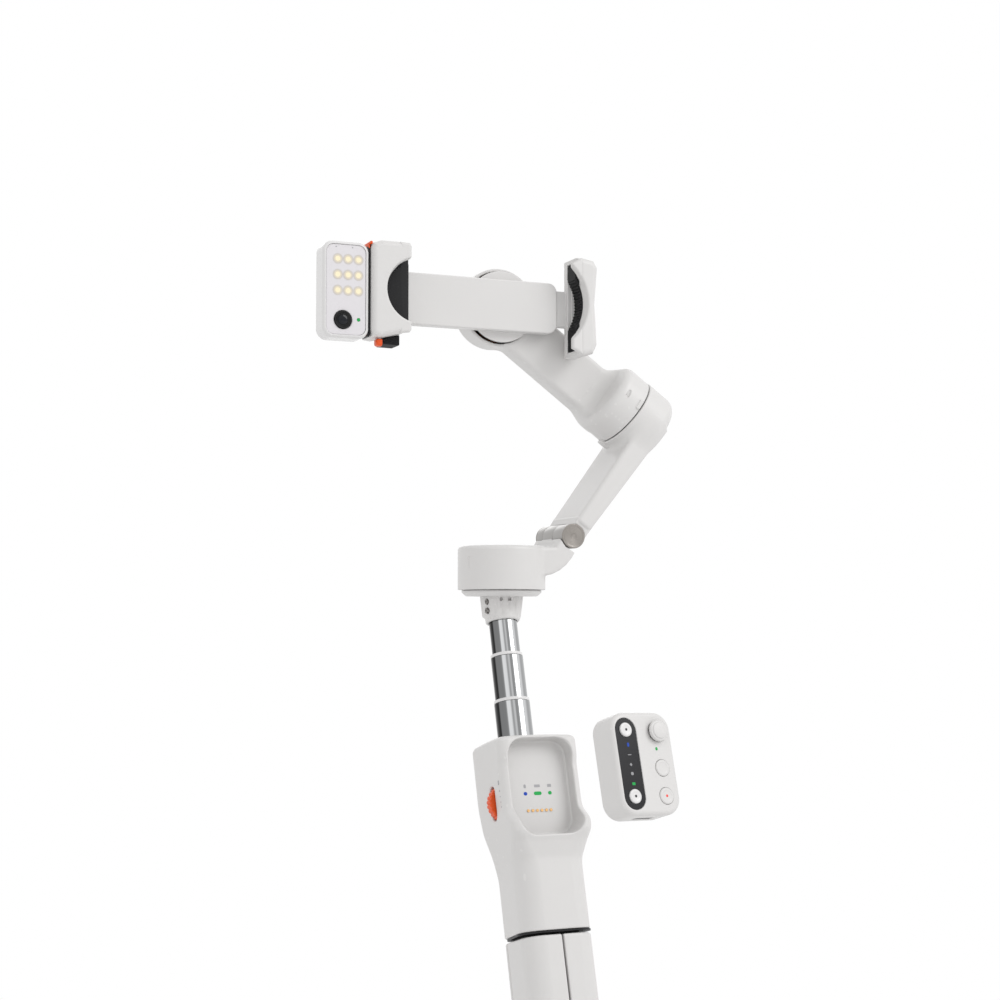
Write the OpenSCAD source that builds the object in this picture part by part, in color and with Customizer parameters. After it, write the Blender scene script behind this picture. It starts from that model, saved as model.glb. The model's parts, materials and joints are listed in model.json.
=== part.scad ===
// Three-axis phone gimbal stabilizer with telescopic rod, snap-in remote,
// magnetic tracking light and built-in tripod legs.
// Frame: origin at the mouth of the tripod socket, +Z up the handle, front is -Y.

/* [Handle] */
// Height of the handle from its base to its top, mm
handle_top = 142.8; // [142.4:0.1:143.2]
// Depth of the remote's pocket floor behind the handle axis plane, mm
pocket_floor = 8; // [7.8:0.1:8.2]
// Width of the remote's pocket, mm
pocket_w = 28; // [27.8:0.1:28.2]
// Outer radius of the zoom wheel, mm
wheel_r = 7.6; // [7.2:0.1:7.7]
// Number of grooves on the zoom wheel
wheel_grooves = 24; // [12:1:28]

/* [Rod] */
// Outer radius of the widest moving rod section, mm
rod_1_r = 7.5; // [7.4:0.05:7.6]
// Outer radius of the middle rod section, mm
rod_2_r = 6.8; // [6.75:0.05:6.85]
// Outer radius of the thinnest rod section, mm
rod_3_r = 5.95; // [5.9:0.05:6.0]
// Running clearance between the rod sections, mm
slide_gap = 0.05; // [0.04:0.01:0.08]
// Lean of the pan motor against the rod, degrees
lean = 16; // [15.8:0.1:16.2]

/* [Motors] */
// Outer radius of the pan motor, mm
pan_r = 18.65; // [18.4:0.05:18.8]
// Height of the pan motor's turning housing, mm
pan_h = 19.2; // [19.0:0.1:19.4]
// Outer radius of the tilt motor, mm
tilt_r = 16.3; // [16.1:0.1:16.5]
// Outer radius of the roll motor, mm
roll_r = 17; // [16.8:0.1:17.2]
// Number of stator teeth in each motor
teeth = 12; // [9:3:15]

/* [Clamp] */
// Radius of the rubber-lined cut in the fixed jaw, mm
cut_left_r = 12.4; // [12.2:0.1:12.6]
// Radius of the rubber-lined cut in the sliding jaw, mm
cut_right_r = 19.6; // [19.3:0.1:19.8]

/* [Remote] */
// Thickness of the remote, mm
remote_t = 13; // [12.8:0.1:13.2]
// Height of the remote, mm
remote_h = 38; // [37.8:0.1:38.1]

/* [Hidden] */

$fn = 64;
rod_y = 7.5;
rod_top = 200;
pan_drop = 8;
gimbal_z = 122.3;
beam_angle = 53.7;
seam = 72.6;
housing_end = 59.8;
back_dir = 90;
left_dir = 210;
right_dir = 330;
leg_pivot = 14;
leg_z = 7;
column = 11.5;
leg_top = 63.6;
wheel_x = -12;
wheel_y = -2.2;
wheel_z = 116.1;
dock_z = 120.9;
arc_r = 400;
arc_turn = 10;
arc_lean = 6;
hinge_x = 27.5;
hinge_z = 23.5;
ear_r = 5.3;
fold_max = 85;
dock_gap = 0.4;
stick_x = 6.6;
stick_y = 0.8;
stick_z = 11.6;
white = [0.86, 0.86, 0.85];
grey = [0.55, 0.56, 0.58];
dark = [0.1, 0.1, 0.11];
steel = [0.7, 0.71, 0.73];
copper = [0.72, 0.42, 0.2];
orange = [0.9, 0.32, 0.12];
gold = [0.85, 0.68, 0.3];
warm = [1, 0.85, 0.5];

// ---- frames ----

module pan_frame() {
  translate([0, rod_y, rod_top])
    rotate([lean, 0, 0])
      translate([0, 0, pan_drop])
        children();
}

// Z runs from the beam towards the phone along the tilt axis, X runs up the beam
module tilt_frame() {
  pan_frame()
    translate([0, 0, gimbal_z])
      rotate([0, -beam_angle, 0])
        children();
}

// Z runs backwards along the roll axis, X to the right, Y down
module roll_frame() {
  pan_frame()
    translate([0, 0, gimbal_z])
      rotate([-90, 0, 0])
        children();
}

// X runs outwards from the handle axis through one leg
module leg_frame(dir) {
  rotate([0, 0, dir])
    children();
}

// The remote as drawn, pulled off the handle along a wide arc
module remote_frame() {
  translate([arc_r, -pocket_floor - dock_gap - remote_t / 2, dock_z])
    rotate([arc_lean, 0, 0])
      rotate([0, 0, arc_turn])
        rotate([-arc_lean, 0, 0])
          translate([-arc_r, 0, 0])
            children();
}

// ---- shapes ----

module rounded(x, y, r) {
  square([x, y - 2 * r], center = true);
  square([x - 2 * r, y], center = true);
  for (i = [-1, 1], j = [-1, 1])
    translate([i * (x / 2 - r), j * (y / 2 - r)])
      circle(r);
}

// A rounded plate drawn in X and Z, from y0 back to y1
module plate(x, z, r, y0, y1) {
  translate([0, y1, 0])
    rotate([90, 0, 0])
      linear_extrude(y1 - y0)
        rounded(x, z, r);
}

// A profile drawn in X and Z, extruded from y0 back to y1
module across(y0, y1) {
  translate([0, y1, 0])
    rotate([90, 0, 0])
      linear_extrude(y1 - y0)
        children();
}

module ring(r_out, r_in, h) {
  difference() {
    cylinder(r = r_out, h = h);
    translate([0, 0, -1])
      cylinder(r = r_in, h = h + 2);
  }
}

// Four rounded posts: back pair and front pair of a handle section
module posts(bx, by, br, fx, fy, fr, h) {
  for (i = [-1, 1]) {
    translate([i * bx, by, 0])
      cylinder(r = br, h = h, $fn = 40);
    translate([i * fx, fy, 0])
      cylinder(r = fr, h = h, $fn = 40);
  }
}

module grip_posts(h, inset = 0) {
  posts(4.6, 7.7, 9.4 - inset, 7.5, -8.1, 9 - inset, h);
}

module head_posts(h, inset = 0) {
  posts(9.7, 12.5, 8 - inset, 13, -10.5, 4.5 - inset, h);
}

// Stator with separate teeth and wound coils
module stator(r_out, r_in, h) {
  difference() {
    union() {
      cylinder(r = r_in + 2, h = h);
      for (i = [0 : teeth - 1])
        rotate([0, 0, i * 360 / teeth]) {
          translate([r_in + 1, -0.8, 0.6])
            cube([r_out - r_in - 1.6, 1.6, h - 1.2]);
          translate([r_out - 1.2, -2.4, 0.6])
            cube([1, 4.8, h - 1.2]);
          translate([r_in + 2.6, -1.6, 0.2])
            cube([r_out - r_in - 4.4, 3.2, h - 0.4]);
        }
    }
    translate([0, 0, -1])
      cylinder(r = r_in, h = h + 2);
  }
}

// ---- handle ----

module grip_body() {
  hull()
    translate([0, 0, leg_top + 0.4])
      grip_posts(95 - leg_top - 0.4);
  hull() {
    translate([0, 0, 94.9])
      grip_posts(0.1);
    translate([0, 0, 114])
      head_posts(0.1);
  }
  hull() {
    translate([0, 0, 114])
      head_posts(handle_top - 4 - 114);
    translate([0, 0, handle_top - 0.6])
      head_posts(0.6, 2.6);
  }
  // cup under the pocket
  hull() {
    for (i = [-1, 1]) {
      translate([i * 13, -15.6, 101])
        cylinder(r = 4.5, h = 9, $fn = 32);
      translate([i * 9, -8, 94])
        cylinder(r = 5, h = 1, $fn = 32);
    }
    translate([0, -8, 112])
      cube([30, 4, 1], center = true);
  }
}

module pocket_cut() {
  // straight pocket for the docked remote
  translate([0, 0, dock_z])
    plate(pocket_w, remote_h + 0.4, 7, -40, -pocket_floor + 1.6);
  // mouth opens downwards so that the remote tips out
  hull() {
    translate([0, -pocket_floor, dock_z - remote_h / 2 + 7 - 0.2])
      plate(pocket_w, 14, 6.9, -0.2, 0);
    translate([0, -30, dock_z - remote_h / 2 + 7 - 2.7])
      plate(pocket_w, 14, 6.9, -0.2, 0);
  }
  // side walls cut low between the hood and the cup
  translate([0, -53.6, 121.6])
    plate(60, 19, 3, 0, 40);
}

module grip_shell() {
  color(white)
    difference() {
      grip_body();
      pocket_cut();
      // bore around the guide tube
      translate([0, rod_y, 60])
        cylinder(r = 8.4, h = 90);
      // bay for the boards, open at the bottom
      translate([0, -4.2, leg_top - 1])
        linear_extrude(96 - leg_top)
          rounded(24, 20, 6);
      translate([1.5, -2.2, 90])
        linear_extrude(48)
          rounded(19, 7.6, 3);
      // slot and bay for the zoom wheel
      translate([wheel_x, wheel_y, wheel_z])
        rotate([90, 0, 0])
          cylinder(r = wheel_r + 0.5, h = 4.8, center = true);
      translate([wheel_x, wheel_y, wheel_z])
        rotate([90, 0, 0])
          cylinder(r = 1.25, h = 8, center = true);
      // window for the trigger
      translate([0, 0, 112.5])
        plate(13, 17.4, 4, 15.6, 30);
      // charging port
      translate([12, -3, 80])
        rotate([0, 90, 0])
          linear_extrude(12)
            rounded(9.3, 3.5, 1.7);
    }
}

module core_column() {
  color(dark)
    difference() {
      union() {
        translate([0, 0, 10.2])
          linear_extrude(leg_top - 10.2)
            rounded(2 * column, 2 * column, 6);
        hull()
          translate([0, 0, leg_top - 0.5])
            grip_posts(0.7, 1.2);
        translate([0, -4.2, leg_top])
          linear_extrude(5)
            rounded(23.4, 19.4, 5.7);
      }
      // battery bore
      translate([0, 0, 12])
        cylinder(r = 9.3, h = 50.4);
      // seat for the guide tube
      translate([0, rod_y, leg_top - 0.6])
        cylinder(r = 8.35, h = 12);
    }
}

module base_hub() {
  color(white)
    difference() {
      union() {
        cylinder(r = 10.4, h = 10);
        for (dir = [back_dir, left_dir, right_dir])
          leg_frame(dir)
            for (j = [-1, 1])
              translate([6, j * 6.6 - 1.4, 2.4])
                cube([9.9, 2.8, 7.6]);
      }
      // knuckle slots
      for (dir = [back_dir, left_dir, right_dir])
        leg_frame(dir)
          translate([9.6, -5.15, -1])
            cube([12, 10.3, 12]);
      // pin bores
      for (dir = [back_dir, left_dir, right_dir])
        leg_frame(dir)
          translate([leg_pivot, 0, leg_z])
            rotate([90, 0, 0])
              cylinder(r = 1.05, h = 20, center = true);
      // socket seat
      translate([0, 0, -1])
        cylinder(r = 4.55, h = 10.2);
    }
}

module socket_insert() {
  color(steel)
    difference() {
      cylinder(r = 4.5, h = 9);
      translate([0, 0, -1])
        cylinder(r = 3.175, h = 9);
    }
}

module battery_cell() {
  color([0.2, 0.35, 0.5]) {
    translate([0, 0, 12.4])
      cylinder(r = 9, h = 48.6);
    translate([0, 0, 61])
      cylinder(r = 3, h = 0.9);
  }
}

module guide_tube() {
  color(steel)
    translate([0, rod_y, leg_top - 0.4])
      ring(8.3, rod_1_r + slide_gap, handle_top - leg_top - 0.2);
}

module top_collar() {
  color(white)
    translate([0, rod_y, handle_top + 0.02])
      ring(8.8, rod_1_r + slide_gap, 0.9);
}

module cradle_tray() {
  color(white)
    difference() {
      translate([0, 0, dock_z])
        plate(pocket_w - 0.2, remote_h + 0.2, 6.9, -pocket_floor, -pocket_floor + 1.5);
      for (x = [-5.4, 0, 5.4])
        translate([x, 0, dock_z - 2])
          plate(x == 0 ? 3.2 : 1.6, 1.4, 0.6, -20, 0);
      for (i = [0 : 5])
        translate([(i - 2.5) * 2, 0, dock_z - 9.1])
          rotate([90, 0, 0])
            cylinder(r = 0.75, h = 40, center = true, $fn = 24);
    }
}

module status_leds() {
  color([0.2, 0.8, 0.3])
    for (x = [-5.4, 0, 5.4])
      translate([x, 0, dock_z - 2])
        plate(x == 0 ? 2.8 : 1.2, 1.1, 0.5, -pocket_floor + 0.1, -pocket_floor + 1.5);
}

module pogo_pins() {
  color(gold)
    for (i = [0 : 5])
      translate([(i - 2.5) * 2, -pocket_floor - 0.3, dock_z - 9.1])
        rotate([-90, 0, 0])
          cylinder(r = 0.6, h = 1.8, $fn = 24);
}

module zoom_wheel() {
  color(orange)
    translate([wheel_x, wheel_y, wheel_z])
      rotate([90, 0, 0])
        difference() {
          cylinder(r = wheel_r, h = 4, center = true, $fn = 72);
          for (i = [0 : wheel_grooves - 1])
            rotate([0, 0, i * 360 / wheel_grooves])
              translate([wheel_r + 0.05, 0, 0])
                cylinder(r = 0.45, h = 6, center = true, $fn = 16);
          cylinder(r = 1.25, h = 6, center = true, $fn = 48);
        }
}

module wheel_axle() {
  color(steel)
    translate([wheel_x, wheel_y, wheel_z])
      rotate([90, 0, 0])
        cylinder(r = 1.2, h = 7.6, center = true, $fn = 48);
}

module trigger() {
  color(white)
    translate([0, 0, 112.5])
      plate(12.2, 16.6, 3.8, 18, 21.2);
}

module usb_port() {
  color(grey)
    translate([8.6, -3, 80])
      rotate([0, 90, 0])
        difference() {
          linear_extrude(5.8)
            rounded(8.9, 3.1, 1.5);
          translate([0, 0, 1])
            linear_extrude(8)
              rounded(8.3, 2.5, 1.2);
        }
}

// One third of the lower grip, hinged at the base
module leg(dir) {
  color(white)
    union() {
      difference() {
        hull()
          translate([0, 0, 10.4])
            grip_posts(leg_top - 10.4 - 1.3);
        // keep one sector only
        leg_frame(dir) {
          for (j = [-1, 1])
            rotate([0, 0, j * 60])
              translate([-40, j > 0 ? -0.3 : -39.7, 0])
                cube([80, 40, 80]);
          translate([-80.4 + 8, -40, 0])
            cube([72.4, 80, 80]);
        }
        linear_extrude(80)
          rounded(2 * column + 0.7, 2 * column + 0.7, 6.35);
        // slot around the hub's ears
        leg_frame(dir)
          translate([leg_pivot, 0, leg_z])
            rotate([90, 0, 0])
              cylinder(r = 4.6, h = 40, center = true);
      }
      leg_frame(dir)
        difference() {
          union() {
            translate([leg_pivot, 0, leg_z])
              rotate([90, 0, 0])
                cylinder(r = 2.9, h = 9.8, center = true);
            translate([leg_pivot - 0.2, -4.9, leg_z])
              cube([2.4, 9.8, 6]);
          }
          translate([leg_pivot, 0, leg_z])
            rotate([90, 0, 0])
              cylinder(r = 1.06, h = 20, center = true);
        }
    }
}

module leg_left() {
  leg(left_dir);
}

module leg_right() {
  leg(right_dir);
}

module leg_back() {
  leg(back_dir);
}

module leg_pins() {
  color(steel)
    for (dir = [back_dir, left_dir, right_dir])
      leg_frame(dir)
        translate([leg_pivot, 0, leg_z])
          rotate([90, 0, 0])
            cylinder(r = 1, h = 15.6, center = true, $fn = 48);
}

// ---- rod ----

module rod_1() {
  color(steel)
    translate([0, rod_y, 86])
      ring(rod_1_r, rod_2_r + slide_gap, 73.5);
}

module ring_1() {
  color(white)
    translate([0, rod_y, 159.6])
      ring(rod_1_r, rod_2_r + slide_gap, 1.3);
}

module rod_2() {
  color(steel)
    translate([0, rod_y, 101])
      ring(rod_2_r, rod_3_r + slide_gap, 78.1);
}

module ring_2() {
  color(white)
    translate([0, rod_y, 179.2])
      ring(rod_2_r, rod_3_r + slide_gap, 1.3);
}

module rod_3() {
  color(steel)
    translate([0, rod_y, 116])
      ring(rod_3_r, 5.2, 80);
}

// ---- pan ----

module neck() {
  color(white)
    difference() {
      union() {
        translate([0, rod_y, 194.6])
          cylinder(r = 7.3, h = 4);
        pan_frame() {
          translate([0, 0, -10.4])
            linear_extrude(7.8)
              rounded(16.4, 15.4, 4.2);
          for (i = [-1, 0, 1])
            translate([i * 3.6, -7.5, -9.6])
              cylinder(r = 1, h = 7, $fn = 24);
          translate([0, 0, -2.8])
            cylinder(r = 16.5, h = 2.9);
          translate([0, 0, -0.5])
            cylinder(r = 6.9, h = 13);
        }
      }
      translate([0, rod_y, 190])
        cylinder(r = rod_3_r + 0.01, h = 6.2);
      pan_frame() {
        translate([0, 0, -1])
          cylinder(r = 6, h = 20);
        for (z = [-8.2, -4.4])
          translate([-7.2, -3, z])
            rotate([0, -90, 0])
              cylinder(r = 1.25, h = 4, $fn = 32);
      }
    }
}

module neck_screws() {
  color(steel)
    pan_frame()
      for (z = [-8.2, -4.4])
        translate([-7.2, -3, z])
          rotate([0, -90, 0])
            difference() {
              cylinder(r = 1.2, h = 1.2, $fn = 32);
              translate([0, 0, 0.7])
                cylinder(r = 0.55, h = 1, $fn = 6);
            }
}

module pan_housing() {
  color(white)
    pan_frame()
      rotate_extrude($fn = 96)
        polygon([
          [17.2, 0.6], [pan_r, 0.6], [pan_r, pan_h - 2], [pan_r - 0.6, pan_h - 0.6],
          [pan_r - 2, pan_h], [3.05, pan_h], [3.05, pan_h - 2.2], [17.2, pan_h - 2.2]
        ]);
}

module pan_magnets() {
  color(grey)
    pan_frame()
      translate([0, 0, 2])
        ring(17.1, 15.5, 12);
}

module pan_windings() {
  color(copper)
    pan_frame()
      translate([0, 0, 2])
        stator(15, 7, 10);
}

module pan_bearing() {
  color(steel)
    pan_frame()
      for (z = [0, 8])
        translate([0, 0, z])
          ring(5.95, 3.05, 3.6);
}

module pan_shaft() {
  color(steel)
    pan_frame()
      translate([0, 0, -0.6])
        cylinder(r = 3, h = pan_h + 0.3);
}

module lower_arm() {
  color(white)
    pan_frame()
      difference() {
        across(-13.6, 13.6)
          polygon([
            [9, 19.15], [19.5, 19.15], [22.3, 22.9], [24, 22.9], [29, 24], [31.6, 20.4],
            [29.4, 18.1], [26.8, 14.2], [24.3, 11.2], [21.9, 9.1], [18, 6.9], [12.5, 5.6]
          ]);
        translate([0, 0, -1])
          cylinder(r = pan_r + 0.02, h = pan_h + 1.02, $fn = 96);
        translate([hinge_x, 0, hinge_z])
          rotate([90, 0, 0]) {
            cylinder(r = ear_r + 0.01, h = 30, center = true);
            translate([0, 0, 18.55])
              cylinder(r = ear_r + 0.35, h = 30, center = true);
            translate([0, 0, -21.75])
              cylinder(r = ear_r + 0.35, h = 30, center = true);
          }
        // room for the beam as it folds down
        for (turn = [50 : 2.5 : fold_max + 1])
          translate([hinge_x, 0, hinge_z])
            rotate([0, turn - beam_angle, 0])
              across(-14.4, 14.4)
                polygon([[-1, -5.6], [20, -6.4], [20, 0], [-1, 0]]);
      }
}

// Metal middle knuckle of the folding hinge, held in the lower arm
module hinge_sleeve() {
  color(steel)
    pan_frame()
      translate([hinge_x, 6.75, hinge_z])
        rotate([90, 0, 0])
          ring(ear_r, 2.5, 10.3);
}

module fold_pin() {
  color(steel)
    pan_frame()
      translate([hinge_x, 0, hinge_z])
        rotate([90, 0, 0]) {
          cylinder(r = 2.45, h = 27, center = true);
          for (k = [-1, 1])
            translate([0, 0, k * 13.6])
              cylinder(r = ear_r, h = 0.8, center = true);
        }
}

// ---- beam and tilt ----

module beam() {
  color(white)
    tilt_frame()
      difference() {
        union() {
          // flat bar
          across(-14, 14)
            polygon([
              [-57.2, -78], [-6, -78], [0, -76.4], [0, -89.2], [-8.5, -88.6], [-60.4, -85.7],
              [-58.2, -80]
            ]);
          // hinge ears
          across(-13.1, 13.1) {
            translate([-63.35, -80.65])
              circle(ear_r);
            polygon([[-62, -78.6], [-56, -77.9], [-56, -85.9], [-64, -85.9]]);
          }
          // head carrying the motor
          translate([0, 0, -89.2])
            cylinder(r = 16.6, h = 16.2);
          translate([0, 0, -73.2])
            cylinder(r = 6, h = 10);
        }
        translate([-63.35, 0, -80.65])
          rotate([90, 0, 0])
            cylinder(r = 2.5, h = 40, center = true);
        // room for the middle knuckle and for the pin's two heads
        translate([-63.35, 0, -80.65])
          rotate([90, 0, 0]) {
            translate([0, 0, -6.95])
              cylinder(r = ear_r + 0.4, h = 10.7);
            for (k = [-1, 1])
              translate([0, 0, k * 15.1])
                cylinder(r = ear_r + 0.2, h = 4, center = true);
          }
        // bore for the tilt shaft
        translate([0, 0, -82])
          cylinder(r = 3.05, h = 30);
        // wiring channel under a cover
        translate([0, 0, -79])
          ring(13, 8, 10);
      }
}

module tilt_windings() {
  color(copper)
    tilt_frame()
      translate([0, 0, -71.6])
        stator(13.2, 6.1, 8.4);
}

module tilt_shaft() {
  color(steel)
    tilt_frame()
      translate([0, 0, -81])
        cylinder(r = 3, h = 19.4);
}

module tilt_housing() {
  color(white)
    tilt_frame()
      translate([0, 0, -seam])
        rotate_extrude($fn = 96)
          polygon([
            [15, 0], [tilt_r, 0], [tilt_r, 9.4], [tilt_r - 1, 11.8], [tilt_r - 3, 12.8],
            [0, 12.8], [0, 11], [3.05, 11], [3.05, 9.8], [15, 9.8]
          ]);
}

// ---- roll ----

module roll_arm() {
  color(white)
    difference() {
      union() {
        tilt_frame()
          translate([0, 8, -30])
            linear_extrude(60.4, center = true)
              rounded(22, 11, 4);
        roll_frame()
          translate([0, 0, 2.6])
            rotate_extrude($fn = 96)
              polygon([
                [0, 0], [roll_r, 0], [roll_r, 9.5], [roll_r - 0.8, 11.6], [roll_r - 2.6, 12.4],
                [0, 12.4]
              ]);
      }
      // motor bay
      roll_frame()
        translate([0, 0, 2])
          cylinder(r = roll_r - 1.6, h = 11.2);
      // keep clear of the tilt housing
      tilt_frame()
        translate([0, 0, -79.8])
          cylinder(r = 30, h = 20.05);
    }
}

module roll_windings() {
  color(copper)
    roll_frame()
      translate([0, 0, 4.4])
        stator(14, 6.1, 8.2);
}

module roll_shaft() {
  color(steel)
    roll_frame() {
      translate([0, 0, 0.7])
        cylinder(r = 15, h = 1.6);
      translate([0, 0, 0.7])
        cylinder(r = 5.7, h = 11.6);
    }
}

// ---- clamp, in pan frame coordinates ----

module at_gimbal() {
  pan_frame()
    translate([0, 0, gimbal_z])
      children();
}

module clamp_base() {
  color(white)
    at_gimbal()
      difference() {
        union() {
          translate([-20, 0, 0])
            plate(60, 22, 4, -5, 0.3);
          rotate([90, 0, 0])
            cylinder(r = 15.4, h = 1.1, center = true);
        }
        // channel for the sliding jaw
        translate([-45, -4, -8.1])
          cube([60, 2.6, 16.2]);
      }
}

module guide_rods() {
  color(steel)
    at_gimbal()
      for (z = [-5, 5])
        translate([-44.8, -2.7, z])
          rotate([0, 90, 0])
            cylinder(r = 0.8, h = 53.8, $fn = 32);
}

module jaw_profile_left() {
  polygon([
    [-50, -16.8], [-60, -19.2], [-63.2, -18.4], [-64.1, -16], [-64.1, 17.2], [-63, 19.8],
    [-59.6, 21], [-50, 21]
  ]);
}

module jaw_left() {
  color(white)
    at_gimbal()
      difference() {
        union() {
          across(-16.4, 0.3)
            jaw_profile_left();
          across(-16.4, -13.6)
            translate([-50.1, -16.8])
              square([3, 37.8]);
          across(-4.9, 0.3)
            translate([-50.1, -10.9])
              square([3, 21.8]);
        }
        // round cut that bares the pad
        translate([-43.9, 0, 1.4])
          rotate([90, 0, 0])
            cylinder(r = cut_left_r, h = 11, $fn = 96);
        translate([-43.9, -11.2, 1.4])
          rotate([90, 0, 0])
            cylinder(r = cut_left_r, h = 20, $fn = 96);
        // seat for the pad
        translate([-52.2, -13.5, -15.4])
          cube([3, 8.4, 35]);
        // seat for the magnets
        for (z = [-9, 9])
          translate([-64.5, -8.5, z])
            rotate([0, 90, 0])
              cylinder(r = 3.1, h = 2.4);
        // clear of the base plate
        translate([-50, -6, -11.1])
          cube([10, 8, 22.2]);
      }
}

module pad_left() {
  color(dark)
    at_gimbal() {
      difference() {
        translate([-52.1, -13.4, -15.3])
          cube([2, 8.2, 34.8]);
        translate([-43.9, 0, 1.4])
          rotate([90, 0, 0])
            cylinder(r = cut_left_r - 5, h = 40, center = true, $fn = 96);
      }
      // wedge under the jaw
      across(-10, 0)
        polygon([[-60, -19.25], [-50, -16.85], [-50, -21.6], [-60, -21.6]]);
    }
}

module trim_tab() {
  color(orange)
    at_gimbal()
      difference() {
        translate([-64.9, -9, 0])
          rotate([0, 90, 0])
            linear_extrude(0.7)
              rounded(43.6, 11, 3);
        for (z = [-9, 9])
          translate([-67, -8.5, z])
            rotate([0, 90, 0])
              cylinder(r = 3.2, h = 4);
      }
}

module jaw_right() {
  color(white)
    at_gimbal()
      difference() {
        union() {
          across(-16.4, -0.9)
            polygon([
              [29, -20.8], [32.1, -21.5], [36.4, -20], [38.3, -16.3], [37.2, 1.2],
              [38.7, 17.4], [36.6, 20.2], [32, 21], [29, 20.8]
            ]);
          across(-16.4, -13.6)
            polygon([[26.3, -18.5], [29.1, -20.2], [29.1, 20.2], [26.2, 18]]);
          translate([-25, -3.9, -8])
            cube([54.1, 2.4, 16]);
        }
        translate([12.9, -11.2, 1.3])
          rotate([90, 0, 0])
            cylinder(r = cut_right_r, h = 20, $fn = 96);
        translate([28.9, -13.5, -19])
          cube([1.9, 8.4, 38]);
        for (z = [-5, 5])
          translate([-30, -2.7, z])
            rotate([0, 90, 0])
              cylinder(r = 0.86, h = 58.6, $fn = 32);
      }
}

module pad_right() {
  color(dark)
    at_gimbal()
      translate([28.95, -13.4, -18.9])
        cube([1.8, 8.2, 37.8]);
}

// ---- tracking light ----

module at_tracker() {
  at_gimbal()
    translate([-74.9, 0, -0.4])
      children();
}

module tracker_case() {
  color(white)
    at_tracker()
      difference() {
        plate(19.7, 39.8, 4.4, -15.2, -4.2);
        plate(16.9, 37, 3.2, -20, -6.2);
      }
}

module tracker_cover() {
  color([0.93, 0.93, 0.92])
    at_tracker()
      difference() {
        plate(16.8, 36.9, 3.15, -15.1, -13.6);
        translate([-1.2, 0, -12.4])
          rotate([90, 0, 0])
            cylinder(r = 3.85, h = 40, center = true);
      }
}

module tracker_board() {
  color([0.1, 0.35, 0.2])
    at_tracker()
      difference() {
        plate(16, 36, 3, -9.6, -8.4);
        translate([-1.2, 0, -12.4])
          rotate([90, 0, 0])
            cylinder(r = 3.4, h = 40, center = true);
      }
}

module light_leds() {
  color(warm)
    at_tracker()
      for (i = [-1, 0, 1], j = [0, 1, 2])
        translate([0.85 + i * 4.4, 0, -0.4 + j * 6.45])
          plate(2.6, 2.6, 0.5, -10.8, -9.7);
}

module camera_eye() {
  color(dark)
    at_tracker()
      translate([-1.2, 0, -12.4])
        rotate([90, 0, 0]) {
          translate([0, 0, 8.2])
            cylinder(r = 3.2, h = 5.4);
          translate([0, 0, 13.5])
            cylinder(r = 3.75, h = 1.9);
        }
}

// ---- remote, drawn around its own centre at the dock ----

module remote_case() {
  color(white)
    remote_frame()
      difference() {
        plate(27, remote_h, 6.5, -remote_t / 2, remote_t / 2);
        // inner bay
        plate(23.6, remote_h - 3.6, 4.8, -remote_t / 2 + 1.6, remote_t / 2 - 1.4);
        // bores for the keys and the stick
        for (k = [[-7.2, 12.4, 2.7], [-7.2, -12, 2.7], [7, -1.9, 3.1], [7, -12.2, 3.1]])
          translate([k[0], 0, k[1]])
            rotate([90, 0, 0])
              cylinder(r = k[2] + 0.05, h = 20, $fn = 48);
        translate([6.6, 0, 11.6])
          rotate([90, 0, 0])
            cylinder(r = 3.6, h = 20, $fn = 48);
        // charging slot
        translate([0, 0.7, -remote_h / 2])
          cube([9, 3.2, 8], center = true);
      }
}

module remote_core() {
  color(dark)
    remote_frame()
      difference() {
        union() {
          plate(22.8, remote_h - 4.6, 4.4, -1.6, -0.4);
          translate([0, 0, -1])
            plate(19, 27, 2, 0, 4.4);
        }
        translate([0, 0, -remote_h / 2 + 2])
          cube([10, 20, 6], center = true);
        translate([stick_x, 0, stick_z])
          plate(6.6, 6.6, 1, -3, 5);
      }
}

// Cross frame that lets the stick tip both ways
module stick_cradle() {
  color(grey)
    remote_frame()
      translate([stick_x, stick_y, stick_z])
        difference() {
          union() {
            plate(5.4, 5.4, 1, -0.6, 0.6);
            rotate([0, 90, 0])
              cylinder(r = 0.5, h = 6.5, center = true, $fn = 32);
          }
          plate(3.4, 3.4, 0.4, -2, 2);
        }
}

module stick() {
  color(white)
    remote_frame()
      translate([stick_x, stick_y, stick_z])
        rotate([90, 0, 0]) {
          cylinder(r = 1.3, h = 8.2);
          translate([0, 0, 8.1])
            rotate_extrude()
              polygon([[0, 0], [3.9, 0], [3.9, 0.9], [3.2, 1.5], [1.6, 1.8], [0, 1.9]]);
        }
}

// A key at x, z with its face at height over the case
module key(x, z, r, height) {
  remote_frame()
    translate([x, -2.2, z])
      rotate([90, 0, 0]) {
        cylinder(r = 1.2, h = 2.7, $fn = 32);
        translate([0, 0, 2.5])
          cylinder(r = r, h = 1.8 + height, $fn = 48);
      }
}

module key_up() {
  color(white)
    key(-7.2, 12.4, 2.7, 0.5);
}

module key_down() {
  color(white)
    key(-7.2, -12, 2.7, 0.5);
}

module key_mode() {
  color(white)
    key(7, -1.9, 3.1, 0.5);
}

module key_record() {
  color(white)
    key(7, -12.2, 3.1, 0.5);
}

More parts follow.
